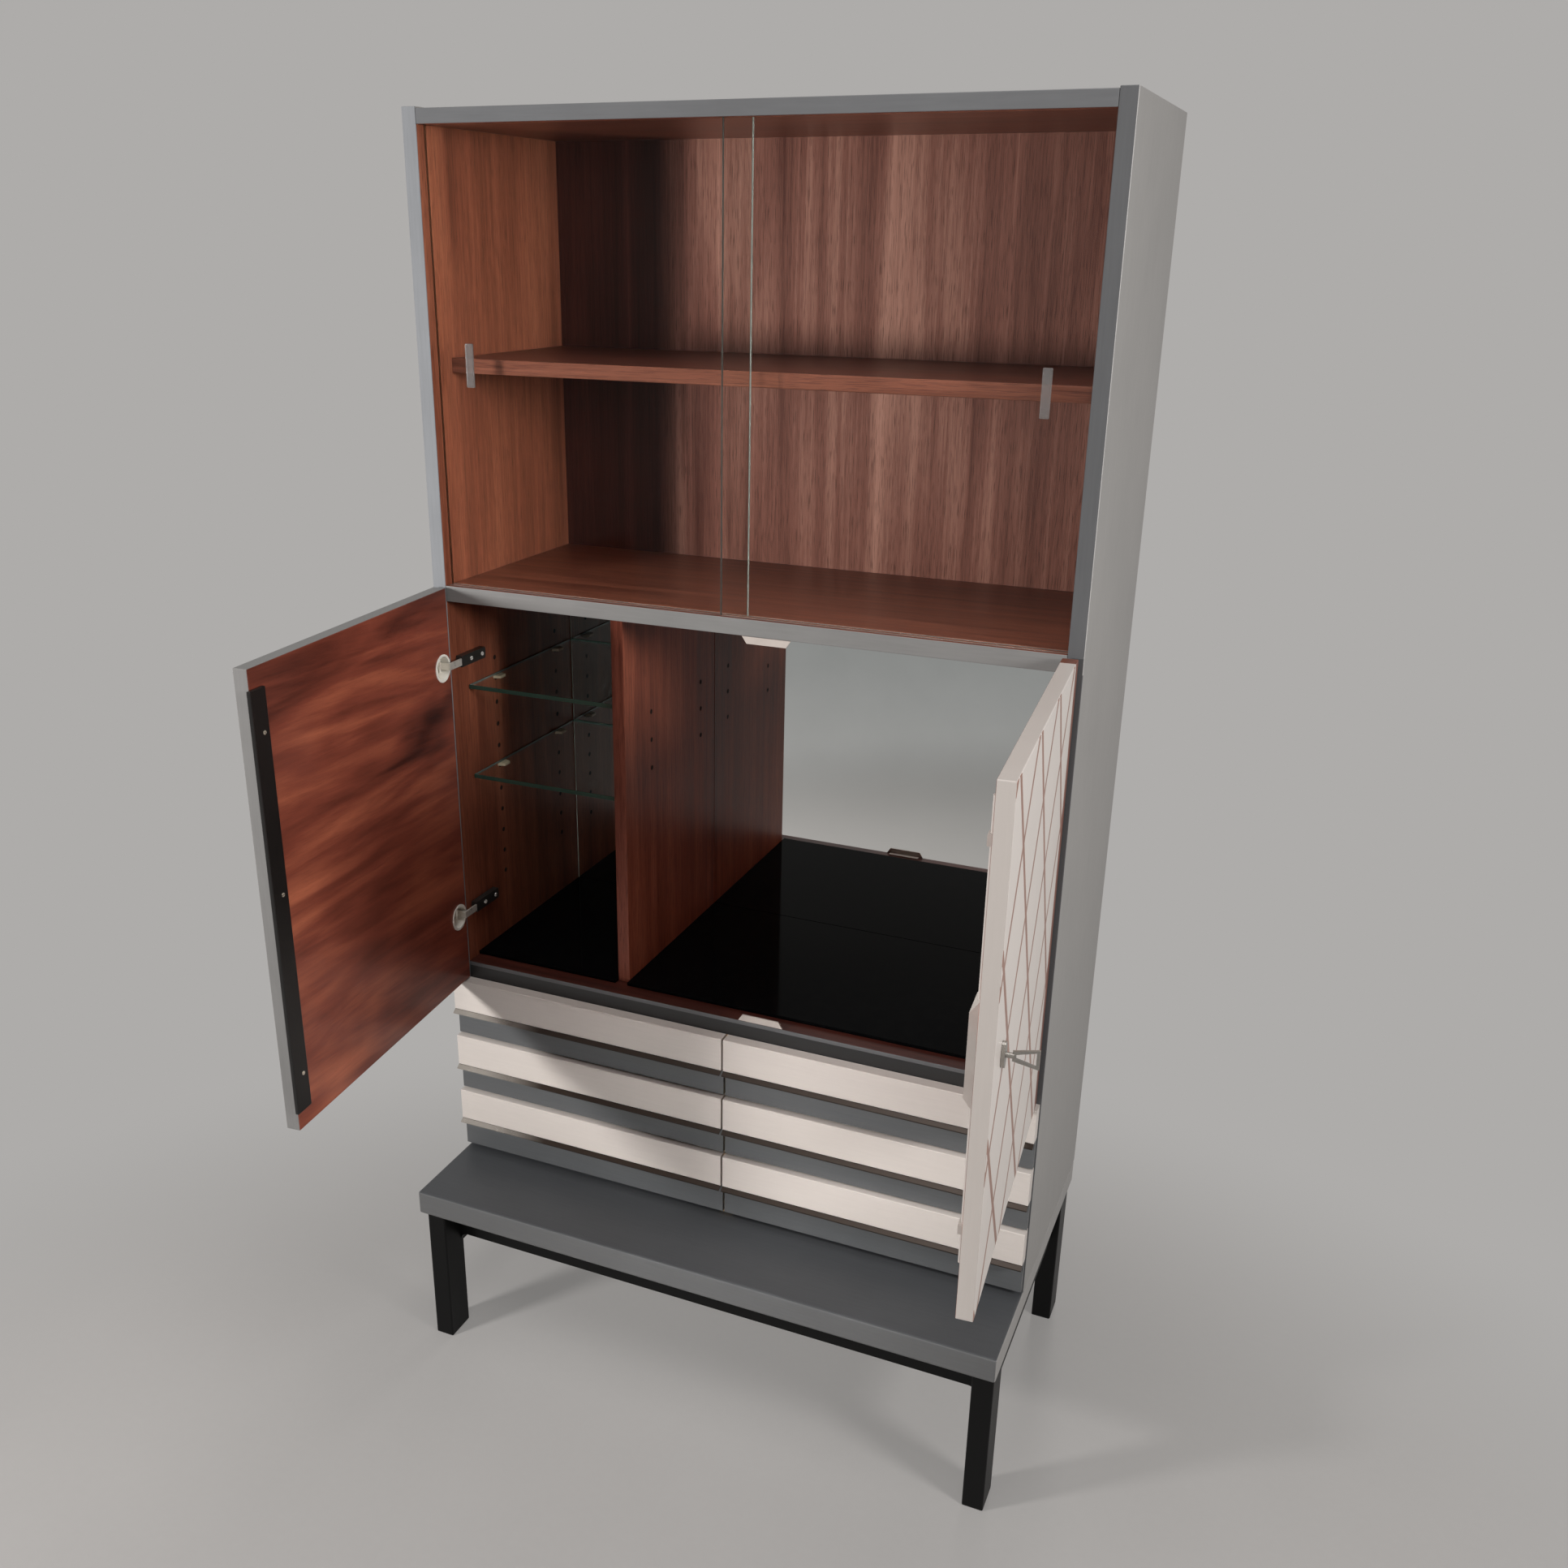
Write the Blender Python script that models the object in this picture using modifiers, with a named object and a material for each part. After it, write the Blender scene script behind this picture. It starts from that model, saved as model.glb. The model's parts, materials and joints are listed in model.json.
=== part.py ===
"""Bar cabinet: glass vitrine above, mirrored bar with two doors, six drawers, black base.

The front of the cabinet faces -Y and +Z is up. Lengths are in metres and angles in degrees.
The carcass is laid out from its centre plane (x = 0), its front edges (y = 0) and the floor
(z = 0). The whole cabinet hangs on one empty that centres its outer box over the origin.
"""
import math

import bmesh
import bpy

# Carcass boards
WIDTH = 0.900
DEPTH = 0.350
SIDE_THICKNESS = 0.020
DRAWER_ZONE = 0.308
BAR_FLOOR_THICKNESS = 0.022
BAR_FLOOR_DROP = 0.005
BAR_HEIGHT = 0.556
MIDDLE_THICKNESS = 0.022
VITRINE_HEIGHT = 0.578
TOP_THICKNESS = 0.018
TOP_SETDOWN = 0.002
BACK_THICKNESS = 0.005
BACK_SETDOWN = 0.002
BOARD_EDGE = 0.0008

# Plinth and base frame
LEG_HEIGHT = 0.236
LEG_WIDTH = 0.030
LEG_DEPTH = 0.047
LEG_INSET = 0.004
LEG_EDGE = 0.002
FRONT_LEG_SETBACK = 0.015
REAR_LEG_SETBACK = 0.008
PLINTH_THICKNESS = 0.038
PLINTH_FORWARD = 0.146
PLINTH_EDGE = 0.0035
FRONT_APRON_HEIGHT = 0.064
FRONT_APRON_SETBACK = 0.040
FRONT_APRON_THICKNESS = 0.014
SIDE_APRON_HEIGHT = 0.082
SIDE_APRON_THICKNESS = 0.016
SIDE_APRON_INSET = 0.012
APRON_FILLET = 0.012

# Vitrine
VITRINE_SHELF_RISE = 0.298
VITRINE_SHELF_THICKNESS = 0.019
VITRINE_SHELF_SETBACK = 0.048
TRACK_SETBACK = 0.006
TRACK_RIDGE = 0.0045
TRACK_DEPTH_LOW = 0.004
TRACK_DEPTH_HIGH = 0.010
PANE_THICKNESS = 0.004
PANE_LIFT = 0.0055
PANE_OVERLAP = 0.0335
PULL_WIDTH = 0.011
PULL_HEIGHT = 0.055
PULL_THICKNESS = 0.004
PULL_FROM_SIDE = 0.051
PULL_RISE = 0.292

# Bar
DIVIDER_BAY = 0.237
DIVIDER_THICKNESS = 0.0185
DIVIDER_SETBACK = 0.036
MIRROR_THICKNESS = 0.004
FLOOR_GLASS_THICKNESS = 0.005
FLOOR_GLASS_SETBACK = 0.027
GLASS_SHELF_THICKNESS = 0.006
GLASS_SHELF_SETBACK = 0.042
GLASS_SHELF_RISES = {"lower": 0.2827, "upper": 0.4195}
PEG_REACH = 0.011
PEG_ROOT_WIDTH = 0.022
PEG_TIP_WIDTH = 0.014
PEG_THICKNESS = 0.004
PEG_FROM_FRONT = 0.117
PEG_FROM_BACK = 0.054
KEEPER_WIDTH = 0.067
KEEPER_TIP_WIDTH = 0.054
KEEPER_HEIGHT = 0.0095
KEEPER_THICKNESS = 0.002
KEEPER_FOOT = 0.011

# Doors and their hinges
DOOR_THICKNESS = 0.019
DOOR_REVEAL = 0.0035
DOOR_GAP = 0.003
DOOR_DROP = 0.0015
DOOR_TOP_DROP = 0.002
DOOR_EDGE = 0.0010
LEFT_OPEN = 85.2
RIGHT_OPEN = 94.4
HINGE_FROM_END = 0.109
PIVOT_BACKSET = 0.009
PIVOT_COVER = 0.0075
CUP_BACKSET = 0.0213
CUP_RADIUS = 0.0175
CUP_WALL = 0.0008
CUP_FLANGE_RADIUS = 0.0198
CUP_FLANGE = 0.0010
CUP_SIDES = 28
PIN_RADIUS = 0.0013
EYE_RADIUS = 0.0026
LINK_THICKNESS = 0.0020
NECK_THICKNESS = 0.0024
ARM_HEIGHT = 0.010
ARM_BODY_HEIGHT = 0.016
ARM_START = 0.014
ARM_END = 0.075
STRIP_WIDTH = 0.029
STRIP_OVERLAP = 0.006
STRIP_THICKNESS = 0.005
STRIP_END = 0.004

# Rod lock of the right door
LOCK_BACKSET = 0.048
LOCK_RISE = 0.271
CASE_HEIGHT = 0.134
CASE_WIDTH = 0.044
CASE_FROM_EDGE = 0.032
CASE_DEPTH = 0.0138
CASE_SLOPE = 0.018
ROD_RADIUS = 0.0025
ROD_FROM_DOOR = 0.0062
ROD_TIP_GAP = 0.002
ROD_GUIDE = 0.012
ROD_GUIDE_FROM_TIP = 0.045
KEY_RADIUS = 0.003
KEY_INSIDE = 0.0110
KEY_SHANK = 0.013
KEY_BOW_LENGTH = 0.025
KEY_BOW_ROOT = 0.011
KEY_BOW_TIP = 0.022
KEY_BOW_BAR = 0.0032
KEY_BOW_THICKNESS = 0.003
PLATE_HEIGHT = 0.030
PLATE_WIDTH = 0.016
PLATE_THICKNESS = 0.004

# Drawers
ROWS = ("upper", "middle", "lower")
PARTITION_THICKNESS = 0.018
FRONT_THICKNESS = 0.018
FRONT_REVEAL = 0.0015
FRONT_SPLIT = 0.003
FRONT_GAP = 0.0025
FRONT_STANDOFF = 0.001
SLAT_HEIGHT = 0.0505
SLAT_EDGE = 0.0008
REBATE_DEPTH = 0.009
LOWEST_FRONT_EXTRA = 0.006
PLINTH_CLEARANCE = 0.008
BOX_RISE = 0.010
BOX_HEADROOM = 0.017
BOX_WALL = 0.012
BOX_BOTTOM = 0.006
BOX_BACK_CLEARANCE = 0.032
RUNNER_HEIGHT = 0.014
RUNNER_PROJECTION = 0.007
RUNNER_END = 0.012
PULL_SHEET = 0.0015
PULL_REACH = 0.0055
PULL_DROP = 0.0040

# Clearances
FIT = 0.0003
TRACK_PLAY = 0.001
PANE_END_PLAY = 0.0005
SHELF_PLAY = 0.001
SWING_PLAY = 0.0004
BOX_PLAY = 0.001
GROOVE_PLAY = 0.0005
EMBED = 0.002

# Heights above the floor
plinth_top = LEG_HEIGHT + PLINTH_THICKNESS
floor_low = plinth_top + DRAWER_ZONE
floor_top = floor_low + BAR_FLOOR_THICKNESS
middle_low = floor_top + BAR_HEIGHT
middle_top = middle_low + MIDDLE_THICKNESS
top_low = middle_top + VITRINE_HEIGHT
top_top = top_low + TOP_THICKNESS
side_top = top_top + TOP_SETDOWN
door_low = floor_low - DOOR_DROP
door_top = middle_top - DOOR_TOP_DROP
lock_z = floor_top + LOCK_RISE

# Across the width and into the depth
half = WIDTH / 2
inner = half - SIDE_THICKNESS
back_front = DEPTH - BACK_SETDOWN - BACK_THICKNESS
board_back = back_front - FIT
mirror_front = board_back - MIRROR_THICKNESS
divider_left = -inner + DIVIDER_BAY
divider_right = divider_left + DIVIDER_THICKNESS
track_width = PANE_THICKNESS + TRACK_PLAY
track_front = TRACK_SETBACK
track_rear = TRACK_SETBACK + track_width + TRACK_RIDGE

# Door swing: the pivot sits inside the door's thickness, near its hinge edge
door_width = half - DOOR_REVEAL - DOOR_GAP / 2
pivot_depth = DOOR_THICKNESS - PIVOT_COVER
swing_radius = math.hypot(PIVOT_BACKSET, pivot_depth)
door_back = pivot_depth - swing_radius - SWING_PLAY
pivot_x = half - DOOR_REVEAL - PIVOT_BACKSET
pivot_y = door_back - pivot_depth
face_in = pivot_depth
face_out = pivot_depth - DOOR_THICKNESS
cup_bore = CUP_RADIUS - CUP_WALL
cup_floor = pivot_depth + EYE_RADIUS + FIT
hinge_heights = {"lower": door_low + HINGE_FROM_END, "upper": door_top - HINGE_FROM_END}
lock_x = PIVOT_BACKSET - door_width + LOCK_BACKSET
keeper_x = DOOR_GAP / 2 + LOCK_BACKSET

# Drawer rows
first_top = door_low - FRONT_GAP
front_zone = first_top - plinth_top - PLINTH_CLEARANCE
front_pitch = (front_zone - LOWEST_FRONT_EXTRA + FRONT_GAP) / len(ROWS)
front_height = front_pitch - FRONT_GAP
box_height = front_height - BOX_RISE - BOX_HEADROOM
box_back = board_back - BOX_BACK_CLEARANCE
box_front = -FRONT_STANDOFF + FIT


def clear_scene():
    """Remove everything that the new scene holds."""
    for item in list(bpy.data.objects):
        bpy.data.objects.remove(item, do_unlink=True)


def make_collection(name):
    """Return a new collection that is linked to the scene."""
    group = bpy.data.collections.new(name)
    bpy.context.scene.collection.children.link(group)
    return group


def linear(value):
    """Return one sRGB channel, 0 to 255, as a linear value."""
    part = value / 255
    if part <= 0.04045:
        return part / 12.92
    return ((part + 0.055) / 1.055) ** 2.4


def make_finish(name, rgb, roughness, metallic=0.0, transmission=0.0):
    """Return a Principled material with the given sRGB colour."""
    finish = bpy.data.materials.new(name)
    finish.use_nodes = True
    shader = finish.node_tree.nodes["Principled BSDF"]
    shader.inputs["Base Color"].default_value = [linear(part) for part in rgb] + [1.0]
    shader.inputs["Roughness"].default_value = roughness
    shader.inputs["Metallic"].default_value = metallic
    shader.inputs["Transmission Weight"].default_value = transmission
    finish.diffuse_color = [linear(part) for part in rgb] + [1.0]
    return finish


def make_empty(name, location, parent=None, turn_z=0.0):
    """Return an empty that places or carries pieces."""
    empty = bpy.data.objects.new(name, None)
    empty.location = location
    empty.rotation_euler = (0, 0, math.radians(turn_z))
    empty.parent = parent
    cabinet_parts.objects.link(empty)
    return empty


def add_object(name, data, finish, parent, location=(0, 0, 0), rotation=(0, 0, 0)):
    """Link a piece, or a cutter when it has no finish, and return it."""
    item = bpy.data.objects.new(name, data)
    item.location = location
    item.rotation_euler = [math.radians(angle) for angle in rotation]
    item.parent = parent
    if finish is None:
        cutters.objects.link(item)
        item.hide_render = True
        item.display_type = "WIRE"
        return item
    item.data.materials.append(finish)
    cabinet_parts.objects.link(item)
    return item


def ease(item, width, segments=2):
    """Round the sharp edges of a piece."""
    bevel = item.modifiers.new("eased_edges", "BEVEL")
    bevel.width = width
    bevel.segments = segments
    bevel.limit_method = "ANGLE"
    bevel.angle_limit = math.radians(40)
    return item


def box(name, finish, parent, low, high, edge=0.0, segments=2):
    """Return a block between two corners."""
    mesh = bpy.data.meshes.new(name)
    shape = bmesh.new()
    bmesh.ops.create_cube(shape, size=1.0)
    size = [b - a for a, b in zip(low, high)]
    bmesh.ops.scale(shape, vec=size, verts=shape.verts)
    shape.to_mesh(mesh)
    shape.free()
    centre = [(a + b) / 2 for a, b in zip(low, high)]
    item = add_object(name, mesh, finish, parent, centre)
    if edge > 0:
        ease(item, edge, segments)
    return item


def rod(name, finish, parent, centre, radius, length, rotation=(0, 0, 0), sides=16):
    """Return a round bar along its own Z axis."""
    mesh = bpy.data.meshes.new(name)
    shape = bmesh.new()
    bmesh.ops.create_cone(
        shape, cap_ends=True, segments=sides, radius1=radius, radius2=radius, depth=length
    )
    shape.to_mesh(mesh)
    shape.free()
    return add_object(name, mesh, finish, parent, centre, rotation)


def outline(name, finish, parent, loops, thickness, location, rotation=(0, 0, 0)):
    """Return a flat outline of one or more closed loops, thickened evenly both ways."""
    curve = bpy.data.curves.new(name, "CURVE")
    curve.dimensions = "2D"
    curve.fill_mode = "BOTH"
    curve.extrude = thickness / 2
    for loop in loops:
        spline = curve.splines.new("POLY")
        spline.points.add(len(loop) - 1)
        for point, (across, up) in zip(spline.points, loop):
            point.co = (across, up, 0, 1)
        spline.use_cyclic_u = True
    return add_object(name, curve, finish, parent, location, rotation)


def solid_outline(name, finish, parent, loops, thickness, location, rotation=(0, 0, 0)):
    """Return an outline as a welded mesh, ready to be cut or joined."""
    flat = outline(name + "_outline", None, None, loops, thickness, (0, 0, 0))
    view = bpy.context.evaluated_depsgraph_get()
    mesh = bpy.data.meshes.new_from_object(flat.evaluated_get(view))
    bpy.data.objects.remove(flat, do_unlink=True)
    mesh.name = name
    shape = bmesh.new()
    shape.from_mesh(mesh)
    bmesh.ops.remove_doubles(shape, verts=shape.verts, dist=1e-6)
    bmesh.ops.recalc_face_normals(shape, faces=shape.faces)
    shape.to_mesh(mesh)
    shape.free()
    return add_object(name, mesh, finish, parent, location, rotation)


def combine(item, tool, operation):
    """Cut a tool from a piece, or join it to the piece."""
    step = item.modifiers.new(tool.name, "BOOLEAN")
    step.operation = operation
    step.solver = "EXACT"
    step.object = tool
    return item


def cut(item, tool):
    """Cut a tool from a piece."""
    return combine(item, tool, "DIFFERENCE")


def join(item, tool):
    """Join a tool to the piece that carries it."""
    return combine(item, tool, "UNION")


def turned(across, deep, angle):
    """Return a plan position that is turned about the origin."""
    sine = math.sin(math.radians(angle))
    cosine = math.cos(math.radians(angle))
    return across * cosine - deep * sine, across * sine + deep * cosine


def outer_box():
    """Return the plan limits of the cabinet with its doors at rest."""
    reach = face_out - KEY_SHANK - KEY_BOW_LENGTH
    across = [-half, half]
    deep = [-PLINTH_FORWARD, DEPTH]
    left = [(door_width - PIVOT_BACKSET, face_out), (door_width - PIVOT_BACKSET, face_in)]
    left.append((door_width - PIVOT_BACKSET + STRIP_OVERLAP, face_in + FIT))
    left.append((door_width - PIVOT_BACKSET + STRIP_OVERLAP, face_in + FIT + STRIP_THICKNESS))
    right = [(PIVOT_BACKSET - door_width, face_out), (PIVOT_BACKSET - door_width, face_in)]
    right.append((lock_x, reach))
    for corner in left:
        x, y = turned(*corner, -LEFT_OPEN)
        across.append(x - pivot_x)
        deep.append(y + pivot_y)
    for corner in right:
        x, y = turned(*corner, RIGHT_OPEN)
        across.append(x + pivot_x)
        deep.append(y + pivot_y)
    return min(across), max(across), min(deep), max(deep)


def add_pegs(item, wall_x, towards, heights):
    """Join the flat shelf pegs, which narrow to their tips, to the board that carries them."""
    root_half = PEG_ROOT_WIDTH / 2
    tip_half = PEG_TIP_WIDTH / 2
    loop = [(-EMBED, -root_half), (PEG_REACH, -tip_half), (PEG_REACH, tip_half), (-EMBED, root_half)]
    loop = [(towards * across, along) for across, along in loop]
    for level, height in heights.items():
        for place, deep in (("front", PEG_FROM_FRONT), ("back", board_back - PEG_FROM_BACK)):
            centre = (wall_x, deep, height - FIT - PEG_THICKNESS / 2)
            name = f"{item.name}_peg_{level}_{place}"
            join(item, solid_outline(name, None, item.parent, [loop], PEG_THICKNESS, centre))


def row_top(row):
    """Return the top of the drawer front in a row."""
    return first_top - ROWS.index(row) * front_pitch


def box_low(row):
    """Return the underside of the drawer box in a row."""
    return row_top(row) - front_height + BOX_RISE


def runner_z(row):
    """Return the height of the middle of the runners in a row."""
    return box_low(row) + box_height / 2


def add_runners(item, wall_x, towards):
    """Join the drawer runners to the board that carries them."""
    for row in ROWS:
        near = wall_x - towards * EMBED
        far = wall_x + towards * RUNNER_PROJECTION
        low = (min(near, far), RUNNER_END, runner_z(row) - RUNNER_HEIGHT / 2)
        high = (max(near, far), board_back - RUNNER_END, runner_z(row) + RUNNER_HEIGHT / 2)
        name = f"{item.name}_runner_{row}_{'right' if towards > 0 else 'left'}"
        join(item, box(name, None, item.parent, low, high))


def apron_corner(ends, sign):
    """Return the points of the round corner that an apron has against a leg."""
    points = []
    for step in range(6):
        angle = math.radians(90) * step / 5
        across = ends - APRON_FILLET + APRON_FILLET * math.cos(angle)
        down = FRONT_APRON_HEIGHT + APRON_FILLET - APRON_FILLET * math.sin(angle)
        points.append((sign * across, -down))
    return points


def build_base():
    """Build the black frame and the plinth board."""
    leg_top = LEG_HEIGHT - FIT
    front = -PLINTH_FORWARD + FRONT_LEG_SETBACK
    rear = DEPTH - REAR_LEG_SETBACK
    outer = half - LEG_INSET
    for name, sign in (("left", -1), ("right", 1)):
        legs = []
        for y in (front, rear - LEG_DEPTH):
            xs = sorted((sign * outer, sign * (outer - LEG_WIDTH)))
            legs.append(((xs[0], y, 0), (xs[1], y + LEG_DEPTH, leg_top)))
        frame = box(f"base_frame_{name}", black_paint, root, *legs[0], LEG_EDGE)
        rear_leg = box(f"rear_leg_{name}", None, root, *legs[1], LEG_EDGE)
        join(frame, rear_leg)
        skin = outer - SIDE_APRON_INSET
        xs = sorted((sign * skin, sign * (skin - SIDE_APRON_THICKNESS)))
        low = (xs[0], front + LEG_DEPTH - LEG_EDGE * 3, leg_top - SIDE_APRON_HEIGHT)
        high = (xs[1], rear - LEG_DEPTH + LEG_EDGE * 3, leg_top - LEG_EDGE / 4)
        join(frame, box(f"side_apron_{name}", None, root, low, high))
    ends = outer - LEG_WIDTH - FIT
    loop = [(-ends, 0), (ends, 0)] + apron_corner(ends, 1) + apron_corner(ends, -1)[::-1]
    sheet = FRONT_APRON_THICKNESS
    for name, y in (("front", front + FRONT_APRON_SETBACK), ("rear", rear - LEG_DEPTH)):
        spot = (0, y + sheet / 2, leg_top)
        solid_outline(f"{name}_apron", black_paint, root, [loop], sheet, spot, (90, 0, 0))
    low = (-half, -PLINTH_FORWARD, LEG_HEIGHT)
    box("plinth_board", dark_grey, root, low, (half, DEPTH, plinth_top), PLINTH_EDGE, 3)


def build_carcass():
    """Build the boards of the carcass with their tracks, pegs and runners."""
    ends = inner - FIT
    foot = plinth_top + FIT
    shelf_low = middle_top + VITRINE_SHELF_RISE - VITRINE_SHELF_THICKNESS
    for name, sign in (("left", -1), ("right", 1)):
        xs = sorted((sign * inner, sign * half))
        side = box(
            f"side_{name}", grey_paint, root, (xs[0], 0, foot), (xs[1], DEPTH, side_top), BOARD_EDGE
        )
        add_runners(side, sign * inner, -sign)
        heights = {"vitrine": shelf_low}
        if sign < 0:
            for level, rise in GLASS_SHELF_RISES.items():
                heights[level] = floor_top + rise
        add_pegs(side, sign * inner, -sign, heights)
    top = box("top_panel", grey_paint, root, (-ends, 0, top_low), (ends, board_back, top_top), BOARD_EDGE)
    middle = box(
        "middle_panel", grey_paint, root, (-ends, 0, middle_low), (ends, board_back, middle_top), BOARD_EDGE
    )
    for place, deep in (("front", track_front), ("rear", track_rear)):
        low = (-half, deep, top_low - EMBED)
        high = (half, deep + track_width, top_low + TRACK_DEPTH_HIGH)
        cut(top, box(f"track_high_{place}", None, root, low, high))
        low = (-half, deep, middle_top - TRACK_DEPTH_LOW)
        high = (half, deep + track_width, middle_top + EMBED)
        cut(middle, box(f"track_low_{place}", None, root, low, high))
    floor_foot = floor_low - BAR_FLOOR_DROP
    box("bar_floor", mahogany, root, (-ends, 0, floor_foot), (ends, board_back, floor_top), BOARD_EDGE)
    box("back_panel", mahogany_dark, root, (-ends, back_front, foot), (ends, back_front + BACK_THICKNESS, top_top))
    divider = box(
        "divider_panel",
        mahogany,
        root,
        (divider_left, DIVIDER_SETBACK, floor_top + FIT),
        (divider_right, mirror_front - FIT, middle_low - FIT),
        BOARD_EDGE,
    )
    add_pegs(divider, divider_left, -1, {level: floor_top + rise for level, rise in GLASS_SHELF_RISES.items()})
    wall = PARTITION_THICKNESS / 2
    partition = box(
        "drawer_partition", wood_light, root, (-wall, 0, foot), (wall, board_back, floor_foot - FIT), BOARD_EDGE
    )
    add_runners(partition, -wall, -1)
    add_runners(partition, wall, 1)
    low = (-ends, VITRINE_SHELF_SETBACK, shelf_low)
    high = (ends, board_back, shelf_low + VITRINE_SHELF_THICKNESS)
    box("vitrine_shelf", mahogany, root, low, high, BOARD_EDGE)


def build_panes():
    """Build the sliding panes and their pulls."""
    pane_width = (inner * 2 + PANE_OVERLAP) / 2 - PANE_END_PLAY
    low_z = middle_top - TRACK_DEPTH_LOW + FIT
    high_z = top_low + PANE_LIFT
    pull_z = middle_top + PULL_RISE
    for name, sign, track in (("left", -1, track_rear), ("right", 1, track_front)):
        y = track + TRACK_PLAY / 2
        wall = sign * (inner - PANE_END_PLAY)
        xs = sorted((wall, wall - sign * pane_width))
        box(f"glass_pane_{name}", clear_glass, root, (xs[0], y, low_z), (xs[1], y + PANE_THICKNESS, high_z))
        x = sign * (inner - PULL_FROM_SIDE)
        low = (x - PULL_WIDTH / 2, y - FIT - PULL_THICKNESS, pull_z - PULL_HEIGHT / 2)
        high = (x + PULL_WIDTH / 2, y - FIT, pull_z + PULL_HEIGHT / 2)
        box(f"pane_pull_{name}", clear_plastic, root, low, high, 0.001)


def build_bar():
    """Build the mirror, the glass plates and shelves and the keepers."""
    ends = inner - FIT
    glass_top = floor_top + FIT + FLOOR_GLASS_THICKNESS
    low = (-ends, mirror_front, floor_top + FIT)
    box("bar_mirror", mirror_silver, root, low, (ends, board_back, middle_low - FIT))
    for name, x0, x1 in (("left", -ends, divider_left - FIT), ("right", divider_right + FIT, ends)):
        low = (x0, FLOOR_GLASS_SETBACK, floor_top + FIT)
        box(f"floor_glass_{name}", black_glass, root, low, (x1, mirror_front - FIT, glass_top), 0.0005, 1)
    for level, rise in GLASS_SHELF_RISES.items():
        low = (-inner + SHELF_PLAY, GLASS_SHELF_SETBACK, floor_top + rise)
        high = (divider_left - SHELF_PLAY, mirror_front - SHELF_PLAY, floor_top + rise + GLASS_SHELF_THICKNESS)
        box(f"glass_shelf_{level}", clear_glass, root, low, high, 0.0006, 1)
    base = KEEPER_WIDTH / 2
    tip = KEEPER_TIP_WIDTH / 2
    foot_sheet = KEEPER_THICKNESS * 0.75
    for level, face, sign in (("lower", floor_top + FIT, 1), ("upper", middle_low - FIT, -1)):
        loop = [(-base, 0), (base, 0), (tip, sign * KEEPER_HEIGHT), (-tip, sign * KEEPER_HEIGHT)]
        spot = (keeper_x, FIT + KEEPER_THICKNESS / 2, face)
        keeper = solid_outline(
            f"keeper_{level}", cream, root, [loop], KEEPER_THICKNESS, spot, (90, 0, 0)
        )
        zs = sorted((face, face + sign * foot_sheet))
        low = (keeper_x - tip, FIT + KEEPER_THICKNESS / 2, zs[0])
        high = (keeper_x + tip, FIT + KEEPER_FOOT, zs[1])
        join(keeper, box(f"keeper_foot_{level}", None, root, low, high))


def arm_loops(sign):
    """Return the outline of a hinge arm, seen from above about its pivot, and the eye's bore."""
    flange_x = PIVOT_BACKSET - CUP_BACKSET + CUP_FLANGE_RADIUS
    flange_y = pivot_depth + FIT + CUP_FLANGE
    neck = math.hypot(flange_x, flange_y) + SWING_PLAY
    neck = max(neck, SIDE_THICKNESS - half + pivot_x + NECK_THICKNESS)
    wall = SIDE_THICKNESS - half + pivot_x + FIT
    start = ARM_START - pivot_y
    end = ARM_END - pivot_y
    link = LINK_THICKNESS / 2
    lead = math.asin(link / EYE_RADIUS)
    loop = []
    for step in range(13):
        angle = lead + (math.tau - 2 * lead) * step / 12
        loop.append((EYE_RADIUS * math.cos(angle), EYE_RADIUS * math.sin(angle)))
    loop += [(neck + NECK_THICKNESS, -link), (neck + NECK_THICKNESS, end), (wall, end)]
    loop += [(wall, start), (neck, start), (neck, link)]
    bore = []
    for step in range(12):
        angle = math.tau * step / 12
        bore.append(((PIN_RADIUS + FIT) * math.cos(angle), (PIN_RADIUS + FIT) * math.sin(angle)))
    return [[(sign * x, y) for x, y in ring] for ring in (loop, bore)]


def build_cup(name, hinge, sign, height):
    """Build one hinge cup with its flange and pivot pin in a door."""
    deep = cup_floor + CUP_WALL
    rim = FIT + CUP_FLANGE
    profile = [(0, -cup_floor), (cup_bore, -cup_floor), (cup_bore, rim), (CUP_FLANGE_RADIUS, rim)]
    profile += [(CUP_FLANGE_RADIUS, FIT), (CUP_RADIUS, FIT), (CUP_RADIUS, -deep), (0, -deep)]
    mesh = bpy.data.meshes.new(name)
    points = [(radius, 0, along) for radius, along in profile]
    mesh.from_pydata(points, [(i, i + 1) for i in range(len(points) - 1)], [])
    x = sign * (CUP_BACKSET - PIVOT_BACKSET)
    cup = add_object(name, mesh, cream, hinge, (x, face_in, height), (-90, 0, 0))
    turn = cup.modifiers.new("turned_wall", "SCREW")
    turn.steps = CUP_SIDES
    turn.render_steps = CUP_SIDES
    turn.use_merge_vertices = True
    turn.merge_threshold = 0.00001
    turn.use_normal_calculate = True
    side_on = CUP_BACKSET - PIVOT_BACKSET + PIN_RADIUS
    reach = math.sqrt(CUP_RADIUS**2 - side_on**2) - CUP_WALL / 2
    join(cup, rod(name + "_pin", None, hinge, (0, 0, height), PIN_RADIUS, reach * 2, sides=10))
    return cup


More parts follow.
